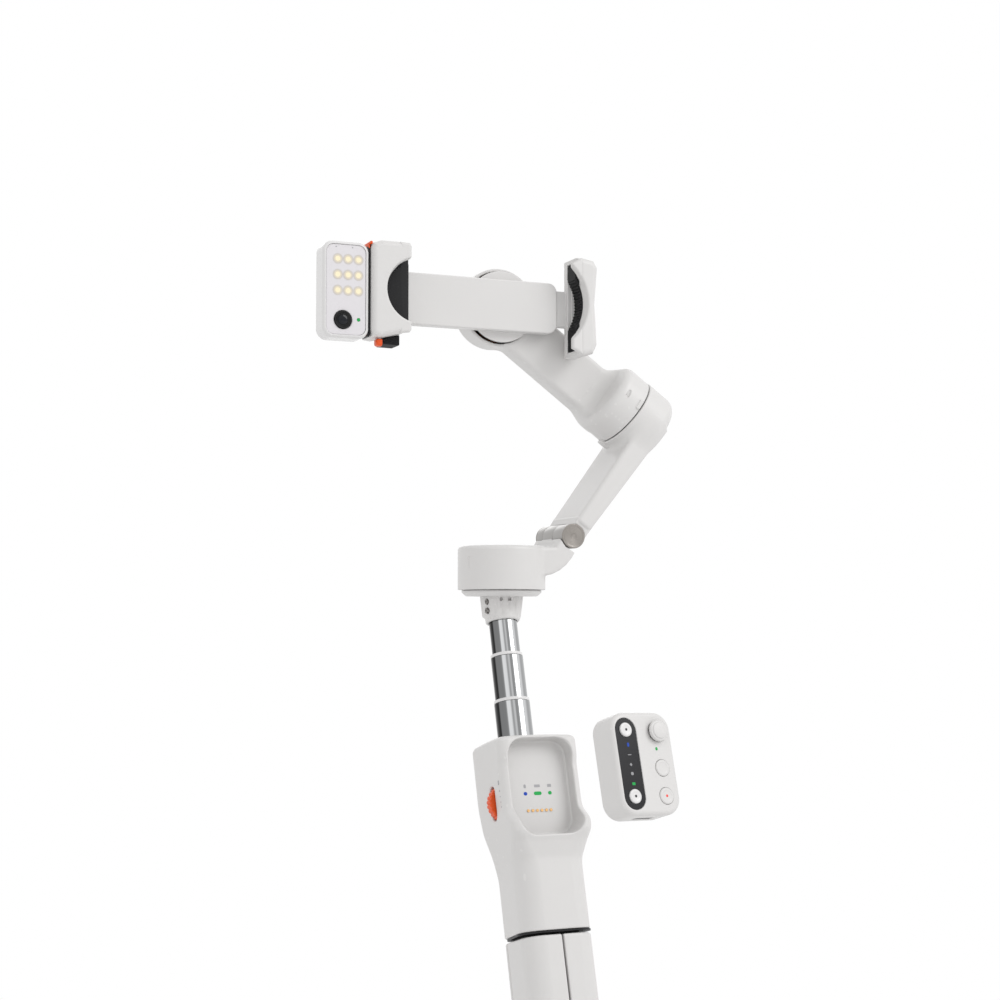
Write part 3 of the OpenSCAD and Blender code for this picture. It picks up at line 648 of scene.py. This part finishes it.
def wheel(x, y, z):
    a = np.arctan2(y, x)
    teeth = 24
    k = 0.42 * (0.5 + 0.5 * np.cos(a * teeth)) ** 3
    d = both(np.hypot(x, y) - 7.6 + k, np.abs(z) - 2.0, 0.5)
    return cut(d, np.hypot(x, y) - 1.3)


carve("zoom_wheel_ribbed", wheel, (-8, -8, -2.2), (8, 8, 2.2), 0.22, WHEEL, ORANGE, "wheel", "orange", "zoom_wheel")


def side_mark(name, y, z, r, depth=0.25):
    """A small printed mark on the left flank of the head."""
    yf, wf, wb, yb = -14.6, 17.5, 17.4, 20.4
    x = -(wf + (wb - wf) * (y - yf) / (yb - yf)) - 0.03
    corner = (-wf + 4.2, yf + 4.2)
    turn = 0.0
    if y < corner[1]:
        t = (corner[1] - y) / 4.2
        x = corner[0] - math.sqrt(max(1 - t * t, 0)) * 4.2 - 0.03
        turn = math.asin(t)
    M = Matrix.Translation((x, y, z)) @ Matrix.Rotation(-math.pi / 2 + turn, 4, "Z")
    return patch(name, disc(r, 16) if r > 0 else pill(0.55, 0.9, 0.35), depth, M, INK, "handle", "shell")


side_mark("wheel_mark_1", -9.9, 123.2, -1)
for i, (z, r) in enumerate([(119.9, 0.42), (117.6, 0.3), (115.4, 0.3), (113.4, 0.3), (111.2, 0.38)]):
    side_mark(f"wheel_mark_{i + 2}", -10.1 - 0.12 * i, z, r)


def trigger_shape(x, y, z):
    d = rect(x, z - 112.5, 6.1, 8.3, 3.8)
    face = 21.6 - 0.012 * x * x - 0.02 * (z - 113) ** 2 + 0.03 * (z - 112.5)
    return both(both(d, y - face, 1.2), 18 - y, 0.3)


carve("trigger_pad", trigger_shape, (-6.5, 17.8, 104), (6.5, 22, 121), 0.3, ROW, SHELL, "trigger", "shell", "trigger")

# status lights and symbols in the pocket
FLOOR = Matrix.Translation((0, -8, 120.9))
for name, x, hx, mat in (("blue", -5.4, 0.8, BLUE), ("bar", 0, 1.7, GREEN), ("green", 5.4, 0.8, GREEN)):
    patch(f"status_{name}", pill(hx, 0.72, 0.71, x, -2.2), 0.2, Matrix.Translation((0, -0.06, 0)) @ FLOOR, mat,
          "handle", "signal", *(("status_leds",) if name == "bar" else ()))
for name, shape in (
    ("sym_a", pill(0.5, 0.75, 0.4, -5.4, 0.8)),
    ("sym_b", pill(1.25, 0.55, 0.2, 0, 0.8)),
    ("sym_c", pill(0.85, 0.6, 0.2, 5.4, 0.8)),
):
    patch(name, shape, 0.2, Matrix.Translation((0, -0.05, 0)) @ FLOOR, INK, "handle", "shell")

# ------------------------------------------------------------------ rod
ROD_AT = Matrix.Translation((0, 7.5, 0))
lathe("rod_low_tube", [(6.86, 86), (7.5, 86), (7.5, 159.5), (6.86, 159.5)], ROD_AT, ROD, "rod_low", "rod", "rod_1")
lathe("rod_low_ring", [(6.86, 159.6), (7.48, 159.6), (7.48, 160.9), (6.86, 160.9)], ROD_AT, GLOSS,
      "rod_low", "gloss", "ring_1", r=0.2)
lathe("rod_mid_tube", [(6.01, 101), (6.8, 101), (6.8, 179.1), (6.01, 179.1)], ROD_AT, ROD, "rod_mid", "rod", "rod_2")
lathe("rod_mid_ring", [(6.01, 179.2), (6.78, 179.2), (6.78, 180.5), (6.01, 180.5)], ROD_AT, GLOSS,
      "rod_mid", "gloss", "ring_2", r=0.2)
lathe("rod_tip_tube", [(5.2, 116), (5.95, 116), (5.95, 196), (5.2, 196)], ROD_AT, ROD, "rod_tip", "rod", "rod_3")
lathe("handle_collar", [(7.56, 142.3), (8.8, 142.3), (8.8, 143.5), (7.56, 143.5)], ROD_AT, SHELL,
      "handle", "shell", "top_collar", r=0.3)


# ------------------------------------------------------------------ neck and pan motor
def neck(x, y, z):
    r = np.hypot(x, y)
    lip = both(r - 17.0 + np.clip(-0.5 - z, 0, 5) * 1.1, slab(z, -2.1, 0.4), 0.3)
    taper = np.clip(-z - 2, 0, 9) * 0.09
    d = rect(x, y, 8.2 - taper, 7.7 - taper, 4.2)
    rib = 0.35 * (0.5 + 0.5 * np.cos(x * 2 * math.pi / 2.9)) ** 2
    rib = np.where(y < 0, rib, 0)
    d = both(d + rib, slab(z, -11.6, -2.0), 1.2)
    d = join(d, lip, 0.8)
    # collar along the rod
    ca, sa = math.cos(LEAN), math.sin(LEAN)
    yy = y * ca - (z + 8) * sa
    zz = y * sa + (z + 8) * ca
    collar = both(np.hypot(x, yy) - 7.3, slab(zz, -5.4, 1.5), 0.7)
    d = join(d, collar, 0.8)
    d = cut(d, both(np.hypot(x, yy) - 5.98, zz + 4.2))
    for cz in (-8.2, -4.4):
        d = cut(d, both(np.hypot(y + 3, z - cz) - 1.3, x + 7.2), 0.15)
    for cx in (-3.3, 0.65):
        d = cut(d, both(np.hypot(x - cx, z + 3.3) - 0.75, y + 6.2), 0.1)
    return d


carve("neck_block", neck, (-17, -17, -14.5), (17, 17, 0.5), 0.32, PAN, SHELL, "rod_tip", "shell", "neck")


def pan_body(x, y, z):
    r = np.hypot(x, y)
    d = rect(r, z - 9.9, 18.65, 9.3, 1.9)
    d = np.where(z < 4, both(r - 18.65, 0.6 - z, 0.35), d)
    d = cut(d, both(r - 17.2, z - 1.8), 0.3)
    mark = block(x + 19.75, y + 6.4, z - 12, 2.5, 0.8, 2.6, 0.78)
    d = cut(d, mark, 0.2)
    arm = outline(x, z, [(9, 17.5), (9, 18.4), (19.5, 18.8), (22.3, 22.9), (24, 22.9), (29, 24), (31.6, 20.4),
                         (29.6, 18.1), (27.2, 14.2), (24.7, 11.3), (21.6, 8.9), (18, 7.2), (10, 5.4)])
    arm = both(arm, np.abs(y) - 13.6, 1.4)
    arm = cut(arm, both(r - 17.2, z - 18.0), 0.1)
    hinge = np.hypot(x - 27.5, z - 23.5)
    arm = cut(arm, np.where(np.abs(y - 1.6) < 5.25, hinge - 5.32, hinge - 5.62), 0.2)
    arm = cut(arm, block(x - 18.6, y, z - 23.4, 2.2, 9.5, 4.0, 1.6), 0.5)
    dx, dz = x - 27.5, z - 23.5
    for turn in range(50, 90, 5):
        a = math.radians(turn) - BEAM
        along, drop = dx * math.cos(a) - dz * math.sin(a), dx * math.sin(a) + dz * math.cos(a)
        arm = cut(arm, both(slab(drop, -5.75, 0), -1 - along))
    return join(d, arm, 1.1)


carve("pan_body_shell", pan_body, (-19, -19, 0), (33, 19, 29), 0.36, PAN, SHELL, "pan", "shell",
      "pan_housing", "lower_arm")


AXLE = HINGE @ Matrix.Rotation(math.radians(90), 4, "X")
lathe("fold_pin_caps", [(0, -14.0), (5.0, -14.0), (5.3, -13.7), (5.3, -13.2), (2.45, -13.2), (2.45, 13.2),
                        (5.3, 13.2), (5.3, 13.75), (5.05, 14.0), (4.5, 14.0), (4.2, 13.8), (1.3, 13.8), (1.1, 13.6),
                        (0, 13.6)], AXLE, CAP, "pan", "metal", "fold_pin", r=0.1)
lathe("hinge_middle_knuckle", [(2.5, -6.75), (5.3, -6.75), (5.3, 3.55), (2.5, 3.55)], AXLE, KNUCKLE, "pan", "metal",
      "hinge_sleeve", r=0.2)
lathe("hinge_front_knuckle", [(2.6, 3.75), (5.3, 3.75), (5.3, 13.1), (2.6, 13.1)], AXLE, KNUCKLE, "beam", "metal", r=0.2)
lathe("hinge_back_knuckle", [(2.6, -13.1), (5.3, -13.1), (5.3, -6.95), (2.6, -6.95)], AXLE, KNUCKLE, "beam", "metal",
      r=0.2)


# ------------------------------------------------------------------ beam and tilt motor, X up the beam, Z towards the phone
def beam(x, y, z):
    outer = -z - (85.7 + 0.056 * (x + 60.4))
    bar = both(z + 78.0, outer, 1.6)
    bar = both(bar, np.abs(y) - 14.0, 1.9)
    bar = both(bar, -57.4 - x, 2.2)
    bar = both(bar, x, 0)
    r = np.hypot(x, y)
    head = rect(r, z + 81.1, 16.7, 8.1, 5.2)
    head = np.where(z > -80, both(r - 16.7, z + 73.0, 0.5), head)
    d = join(bar, head, 3.0)
    web = outline(x, z, [(-63.0, -78.6), (-55, -77.9), (-55, -85.9), (-64.6, -85.7)])
    d = join(d, both(web, np.abs(y) - 13.1, 0.6), 0.3)
    hinge = np.hypot(x + 63.4, z + 80.7)
    d = cut(d, np.where(np.abs(y - 1.6) < 5.35, hinge - 5.7, hinge - 5.4), 0.2)
    d = cut(d, both(r - 14.6, -74.6 - z), 0.2)
    stop = block(x + 15.9, y - 2.0, z + 74, 1.4, 2.2, 2.4, 0.6)
    return join(d, stop, 0.3)


carve("beam_shell", beam, (-69, -17, -90), (17, 17, -70.5), 0.4, TILT, SHELL, "beam", "shell", "beam")


def arm_body(x, y, z):
    """Gimbal frame: the tilt motor's turning cup, the arm behind the phone and the roll motor's cup."""
    ca, sa = math.cos(BEAM), math.sin(BEAM)
    w, t = x * ca + z * sa, -x * sa + z * ca
    r = np.hypot(w, y)
    motor = rect(r, t + 66.2, 16.3, 6.4, 3.6)
    motor = np.where(t < -66.5, both(r - 16.3, -72.6 - t, 0.4), motor)
    bar = both(rect(w, y - 8, 11.4, 5.5, 2.8), slab(t, -62, 1), 0)
    rr = np.hypot(x, z)
    cup = rect(rr, y - 8.8, 17, 6.2, 2.4)
    cup = np.where(y < 6, both(rr - 17, 2.6 - y, 0.4), cup)
    d = join(join(bar, motor, 6.0), cup, 2.0)
    d = cut(d, both(y - 2.3, rr - 54), 0.5)
    d = cut(d, both(r - 15.0, t + 71.4), 0.2)
    d = cut(d, both(rr - 15.6, y - 13.0), 0.2)
    d = join(d, block(w - 1.0, y + 16.0, t + 71.4, 2.2, 0.8, 0.9, 0.3), 0.2)
    return cut(d, block(w - 1.75, y + 16.4, t + 64.5, 1.9, 1.0, 0.75, 0.7), 0.2)


carve("arm_body_shell", arm_body, (-18, -17, -58), (70, 17, 18), 0.42, GIM, SHELL, "tilt", "shell",
      "tilt_housing", "roll_arm")


# ------------------------------------------------------------------ clamp
def clamp_base(x, y, z):
    d = both(rect(x + 13, z, 37, 11, 4), slab(y, -5, 0.3), 0.6)
    d = join(d, both(np.hypot(x, z) - 15.4, slab(y, -0.5, 0.6), 0.2), 0.3)
    return cut(d, block(x, y + 2.7, z, 30, 1.3, 8.1))


carve("clamp_base_plate", clamp_base, (-50.5, -5.2, -15.6), (24.5, 0.8, 15.6), 0.45, GIM, SHELL, "clamp", "shell",
      "clamp_base")

LEFT = [(-49, -16.4), (-60.2, -19.0), (-63.4, -18.6), (-64.1, -16.0), (-64.1, 17.2), (-63.4, 19.9),
        (-59.6, 21.2), (-49, 21.2)]


def jaw_left(x, y, z):
    d = both(outline(x, z, LEFT), slab(y, -16.4, 0.3), 2.4)
    d = both(d, x + 49.9, 0)
    lip = both(outline(x, z, [(-52, -16.9), (-52, 21), (-47.6, 20.8), (-46.9, 19.4), (-46.9, -15.2), (-47.6, -16.3)]),
               slab(y, -16.4, -13.6), 1.0)
    d = join(d, lip, 0)
    hook = both(rect(x + 49.5, z, 3.2, 10.8, 1), slab(y, -4.9, 0.3), 0.3)
    d = join(d, cut(hook, slab(x, -50, 40)), 0)
    r = np.hypot(x + 43.9, z - 1.4)
    dish = r - (12.4 + np.clip(-11.4 - y, 0, 6) * 0.28)
    d = cut(d, both(dish, y + 5.2), 0.6)
    seat = block(x + 50.7, y + 9.3, z - 2.1, 1.5, 4.2, 17.5)
    return cut(d, seat)


carve("jaw_left_shell", jaw_left, (-64.6, -16.8, -23), (-46.4, 0.8, 21.6), 0.32, GIM, SHELL, "clamp", "shell", "jaw_left")


def pad_left(x, y, z):
    """Curved rubber lining in the cut, with fine ribs across it."""
    r = np.hypot(x + 43.9, z - 1.4)
    rib = 0.22 * np.cos(np.arctan2(z - 1.4, x + 43.9) * 60)
    liner = both(r - 15.4, 11.9 + rib - r, 0.3)
    liner = both(liner, slab(y, -12.6, -5.3), 0.4)
    liner = both(liner, x + 49.9, 0)
    strip = both(slab(x, -52.1, -50.0), slab(z, -15.3, 19.5), 0.4)
    strip = both(strip, slab(y, -13.3, -5.3), 0.3)
    strip = cut(strip, r - 12.6)
    wedge = both(outline(x, z, [(-57.6, -18.7), (-50, -16.8), (-50, -21.1), (-56.8, -21.0)]), slab(y, -10, 0), 0.5)
    return join(join(liner, strip), wedge)


carve("jaw_left_rubber", pad_left, (-60.5, -13.6, -22), (-49.5, 0.2, 20), 0.28, GIM, RUBBER, "clamp", "rubber",
      "pad_left")

flap = [(-43.9 + 12.6 * math.cos(math.radians(a)), 1.4 + 12.6 * math.sin(math.radians(a))) for a in range(93, 268, 6)]
patch("jaw_left_flap", flap, 0.3, GIM @ Matrix.Translation((0, -5.5, 0)), RUBBER, "clamp", "rubber")
rim = [(-43.9 + 15 * math.cos(math.radians(a)), 1.4 + 15 * math.sin(math.radians(a))) for a in range(93, 124, 3)]
rim += [(-43.9 + 15 * math.cos(math.radians(a)), 1.4 + 15 * math.sin(math.radians(a))) for a in range(237, 269, 3)]
patch("jaw_left_rim", rim, 0.2, GIM @ Matrix.Translation((0, -5.44, 0)), RUBBER, "clamp", "rubber")

RIGHT = [(28.9, -21.0), (32.1, -21.7), (36.6, -20.2), (38.4, -16.3), (37.9, -6), (37.4, 1.2), (38.1, 9),
         (38.8, 17.2), (36.9, 20.2), (32, 21.1), (28.9, 21)]


def jaw_right(x, y, z):
    d = both(outline(x, z, RIGHT), slab(y, -16.4, 0.3), 2.8)
    lip = both(outline(x, z, [(31, -21), (26.3, -18.5), (26.2, 18), (31, 21)]), slab(y, -16.4, -13.6), 1.0)
    d = join(d, lip, 0)
    r = np.hypot(x - 12.9, z - 1.3)
    dish = r - (19.6 + np.clip(-11.4 - y, 0, 6) * 0.28)
    d = cut(d, both(dish, y + 5.2), 0.6)
    d = cut(d, block(x - 29.8, y + 9.3, z, 1.1, 4.3, 19.1))
    tongue = block(x - 12.5, y + 2.7, z, 17.4, 1.15, 7.9, 0.3)
    return join(d, tongue, 0)


carve("jaw_right_shell", jaw_right, (-5.3, -16.8, -22), (39.2, 0.8, 21.6), 0.34, GIM, SHELL, "jaw", "shell", "jaw_right")


def pad_right(x, y, z):
    r = np.hypot(x - 12.9, z - 1.3)
    rib = 0.22 * np.cos(np.arctan2(z - 1.3, x - 12.9) * 90)
    liner = both(both(r - 22.0, 19.2 + rib - r, 0.3), slab(y, -12.6, -5.3), 0.4)
    liner = both(liner, 28.95 - x, 0)
    strip = both(slab(x, 28.95, 30.8), both(slab(z, -18.9, 18.9), slab(y, -13.3, -5.3), 0.3), 0.3)
    return join(liner, cut(strip, r - 19.4))


carve("jaw_right_rubber", pad_right, (28.6, -13.6, -19.2), (35.4, -5, 19.2), 0.28, GIM, RUBBER, "jaw", "rubber",
      "pad_right")


def tab(x, y, z):
    spine = both(rect(y + 9.0, z - 10.5, 4.6, 9.7, 2), slab(x, -64.88, -64.25), 0.15)
    foot = block(x + 59.4, y + 11.4, z + 20.8, 1.8, 2.0, 1.5, 0.9)
    tip = block(x + 63.9, y + 12.2, z - 20.0, 0.55, 2.4, 0.7, 0.45)
    return join(join(spine, tip, 0.3), foot)


carve("release_tab", tab, (-66, -15, -24), (-59, -2, 22.4), 0.25, GIM, ORANGE, "clamp", "orange", "trim_tab")


# painted shadow: a thin black plate in the gap between the tracking light and the left jaw stands in for the shade in
# that gap
def gap_shadow_plate_shape(x, y, z):
    return both(rect(y + 9.0, z, 4.9, 18.7, 2), slab(x, -64.95, -64.0), 0.25)


carve("painted_gap_shadow_plate", gap_shadow_plate_shape, (-66, -14, -20), (-63, -5, 20), 0.25, GIM, BLACK, "clamp", "black")


# ------------------------------------------------------------------ tracking light
def tracker(x, y, z):
    d = both(rect(x, z, 9.85, 19.9, 4.4), slab(y, -15.2, -4.2), 1.7)
    return cut(d, both(rect(x, z, 8.5, 18.55, 3.3), y + 13.4), 0.3)


carve("tracker_shell", tracker, (-11, -15.4, -21), (11, -4, 21), 0.3, TRACK, GLOSS, "tracker", "gloss", "tracker_case")


def cover(x, y, z):
    d = both(rect(x, z, 8.47, 18.52, 3.28), slab(y, -14.7, -13.5), 0.25)
    d = cut(d, np.hypot(x + 1.2, z + 12.4) - 3.9, 0.1)
    return cut(d, both(np.hypot(x - 5.45, z + 12.1) - 0.75, y + 14.2), 0.05)


carve("tracker_face", cover, (-9.4, -15, -19.3), (9.4, -13.2, 19.3), 0.25, TRACK, PALE, "tracker", "clear",
      "tracker_cover")
LED_AT = TRACK @ Matrix.Translation((0, -14.76, 0))
for i in (-1, 0, 1):
    for j in range(3):
        cx, cz = i * 4.4 + 0.85, -0.4 + j * 6.45
        names = ("light_leds",) if (i, j) == (0, 1) else ()
        patch(f"led_halo_{i + 1}_{j}", disc(2.15, 28, cx, cz), 0.3, LED_AT, HALO, "tracker", "lamp")
        patch(f"led_glow_{i + 1}_{j}", disc(1.6, 24, cx, cz), 0.3,
              LED_AT @ Matrix.Translation((0, -0.03, 0)), HALO_MID, "tracker", "lamp")
        patch(f"led_{i + 1}_{j}", disc(1.05, 20, cx, cz), 0.3,
              LED_AT @ Matrix.Translation((0, -0.06, 0)), LAMP, "tracker", "lamp", *names)
EYE = TRACK @ Matrix.Translation((-1.2, 0, -12.4)) @ Matrix.Rotation(math.radians(90), 4, "X")
lathe("camera_barrel", [(0, 8.2), (3.2, 8.2), (3.2, 13.4), (3.75, 13.5), (3.75, 15.2), (3.4, 15.4), (3.0, 15.1),
                        (2.5, 14.6), (2.2, 14.5), (0, 14.4)], EYE, BLACK, "tracker", "black", "camera_eye", r=0.15)
GLASS = textured("glass", (0.004, 0.005, 0.009), 0.06, bump=0.0, spread=0.02, tint=0.1, spec=0.3)
lathe("camera_glass", [(0, 14.3), (2.2, 14.4), (2.1, 14.7), (1.3, 14.95), (0, 15.05)], EYE, GLASS, "tracker", "black", r=0.1)
patch("tracker_signal", disc(0.62, 20, 5.45, -12.1), 0.3, LED_AT @ Matrix.Translation((0, 0.15, 0)), GREEN, "tracker", "signal")
for k in (-4.3, 2.7):
    patch(f"tracker_pin_{'a' if k < 0 else 'b'}", disc(0.28, 14, k, 17.4), 0.2, LED_AT, INK, "tracker", "clear")


# ------------------------------------------------------------------ remote
def remote(x, y, z):
    d = both(rect(x, z, 13.5, 19.0, 6.6), slab(y, -6.5, 6.5), 1.7)
    d = cut(d, both(rect(x + 7.2, z, 4.75, 16.9, 4.7), y + 6.1), 0.15)
    for cx, cz, r in ((-7.2, 12.4, 2.75), (-7.2, -12.0, 2.75), (7, -1.9, 3.15), (7, -12.2, 3.15), (6.6, 11.6, 3.6)):
        d = cut(d, both(np.hypot(x - cx, z - cz) - r, y + 4.5), 0.15)
    d = cut(d, block(x, y - 0.7, z + 19, 4.4, 1.7, 2.6, 1.2), 0.2)
    pads = block(x, y - 6.8, z + 7.4, 6.4, 0.7, 1.3, 0.6)
    return cut(d, pads, 0.15)


carve("remote_shell", remote, (-13.8, -6.8, -19.3), (13.8, 6.8, 19.3), 0.28, REMOTE, SHELL, "remote", "shell", "remote_case")
patch("remote_strip", pill(4.65, 16.8, 4.6, -7.2, 0, 14), 1.2, REMOTE @ Matrix.Translation((0, -6.25, 0)), PANEL,
      "remote", "black", "remote_core")
patch("remote_port", pill(4.2, 1.3, 1.2), 1.0, REMOTE @ Matrix.Translation((0, 0.8, -18.8)) @ Matrix.Rotation(math.radians(90), 4, "X"),
      BLACK, "remote", "black")


def button(name, x, z, r, face, mat, mark):
    M = REMOTE @ Matrix.Translation((x, 0, z)) @ Matrix.Rotation(math.radians(90), 4, "X")
    lathe(f"{name}_cap", [(0, 2.4), (r, 2.4), (r, face - 0.25), (r - 0.35, face), (r - 0.9, face), (r - 1.2, face - 0.08),
                          (0, face - 0.14)], M, mat, name, "shell", name, r=0.12)
    if mark is not None:
        patch(f"{name}_mark", disc(0.5, 16), 0.2, REMOTE @ Matrix.Translation((x, -face + 0.1, z)), mark, name, "black")


button("key_up", -7.2, 12.4, 2.6, 7.0, GLOSS, BLACK)
button("key_down", -7.2, -12.0, 2.6, 7.0, GLOSS, BLACK)
button("key_mode", 7, -1.9, 3.05, 6.9, SHELL, None)
button("key_record", 7, -12.2, 3.05, 6.9, SHELL, RED)
STICK = REMOTE @ Matrix.Translation((6.6, 0.8, 11.6)) @ Matrix.Rotation(math.radians(90), 4, "X")
lathe("stick_cap", [(0, 0), (1.3, 0), (1.3, 8.0), (3.9, 8.1), (4.0, 8.8), (3.6, 9.4), (3.1, 9.45), (2.9, 9.9), (1.6, 10.1), (0, 10.15)],
      STICK, SHELL, "stick", "shell", "stick", r=0.4)
FACE = REMOTE @ Matrix.Translation((0, -6.3, 0))
patch("icon_blue", pill(0.45, 0.75, 0.4, -6.9, 6.9), 0.1, FACE, BLUE, "remote", "signal")
patch("icon_a", pill(0.8, 0.16, 0.15, -6.9, 3.2), 0.1, FACE, GREY, "remote", "gloss")
patch("icon_b", disc(0.62, 4, -6.9, -0.4), 0.1, FACE, GREY, "remote", "gloss")
patch("icon_c", disc(0.62, 18, -6.9, -3.7), 0.1, FACE, GREY, "remote", "gloss")
patch("icon_green", pill(0.7, 0.5, 0.2, -6.9, -7.4), 0.1, FACE, GREEN, "remote", "signal")
patch("remote_light", pill(0.5, 0.62, 0.45, 5.6, 5.2), 0.1, REMOTE @ Matrix.Translation((0, -6.52, 0)), GREEN, "remote", "signal")

# ------------------------------------------------------------------ stage
def plane(name, size, z, mat):
    me = bpy.data.meshes.new(name)
    me.from_pydata([(-size, -size, z), (size, -size, z), (size, size, z), (-size, size, z)], [], [(0, 1, 2, 3)])
    me.materials.append(mat)
    ob = bpy.data.objects.new(name, me)
    bpy.context.collection.objects.link(ob)


plane("floor", 6, -0.0008, textured("floor", (0.86, 0.86, 0.86), 0.6, grain=60, bump=0.0))


def lamp(name, where, size, power, colour=(1, 1, 1)):
    data = bpy.data.lights.new(name, "AREA")
    data.shape = "RECTANGLE"
    data.size, data.size_y = size
    data.energy = power
    data.color = colour
    ob = bpy.data.objects.new(name, data)
    ob.visible_camera = False
    bpy.context.collection.objects.link(ob)
    target = Vector((0.0, 0.0, 0.2))
    spot = Vector(where)
    ob.matrix_world = Matrix.Translation(spot) @ (target - spot).to_track_quat("-Z", "Y").to_matrix().to_4x4()


lamp("key", (0.9, -1.3, 0.9), (0.9, 0.9), 9.0)
lamp("fill", (-1.2, -0.9, 0.6), (0.9, 1.0), 0.4)
lamp("back", (0.5, 1.3, 1.1), (1.0, 0.8), 3)

world = bpy.data.worlds.new("studio")
world.use_nodes = True
bg = world.node_tree.nodes["Background"]
bg.inputs["Color"].default_value = (1, 1, 1, 1)
bg.inputs["Strength"].default_value = 1.0
bpy.context.scene.world = world
bpy.context.scene.view_settings.view_transform = "Standard"
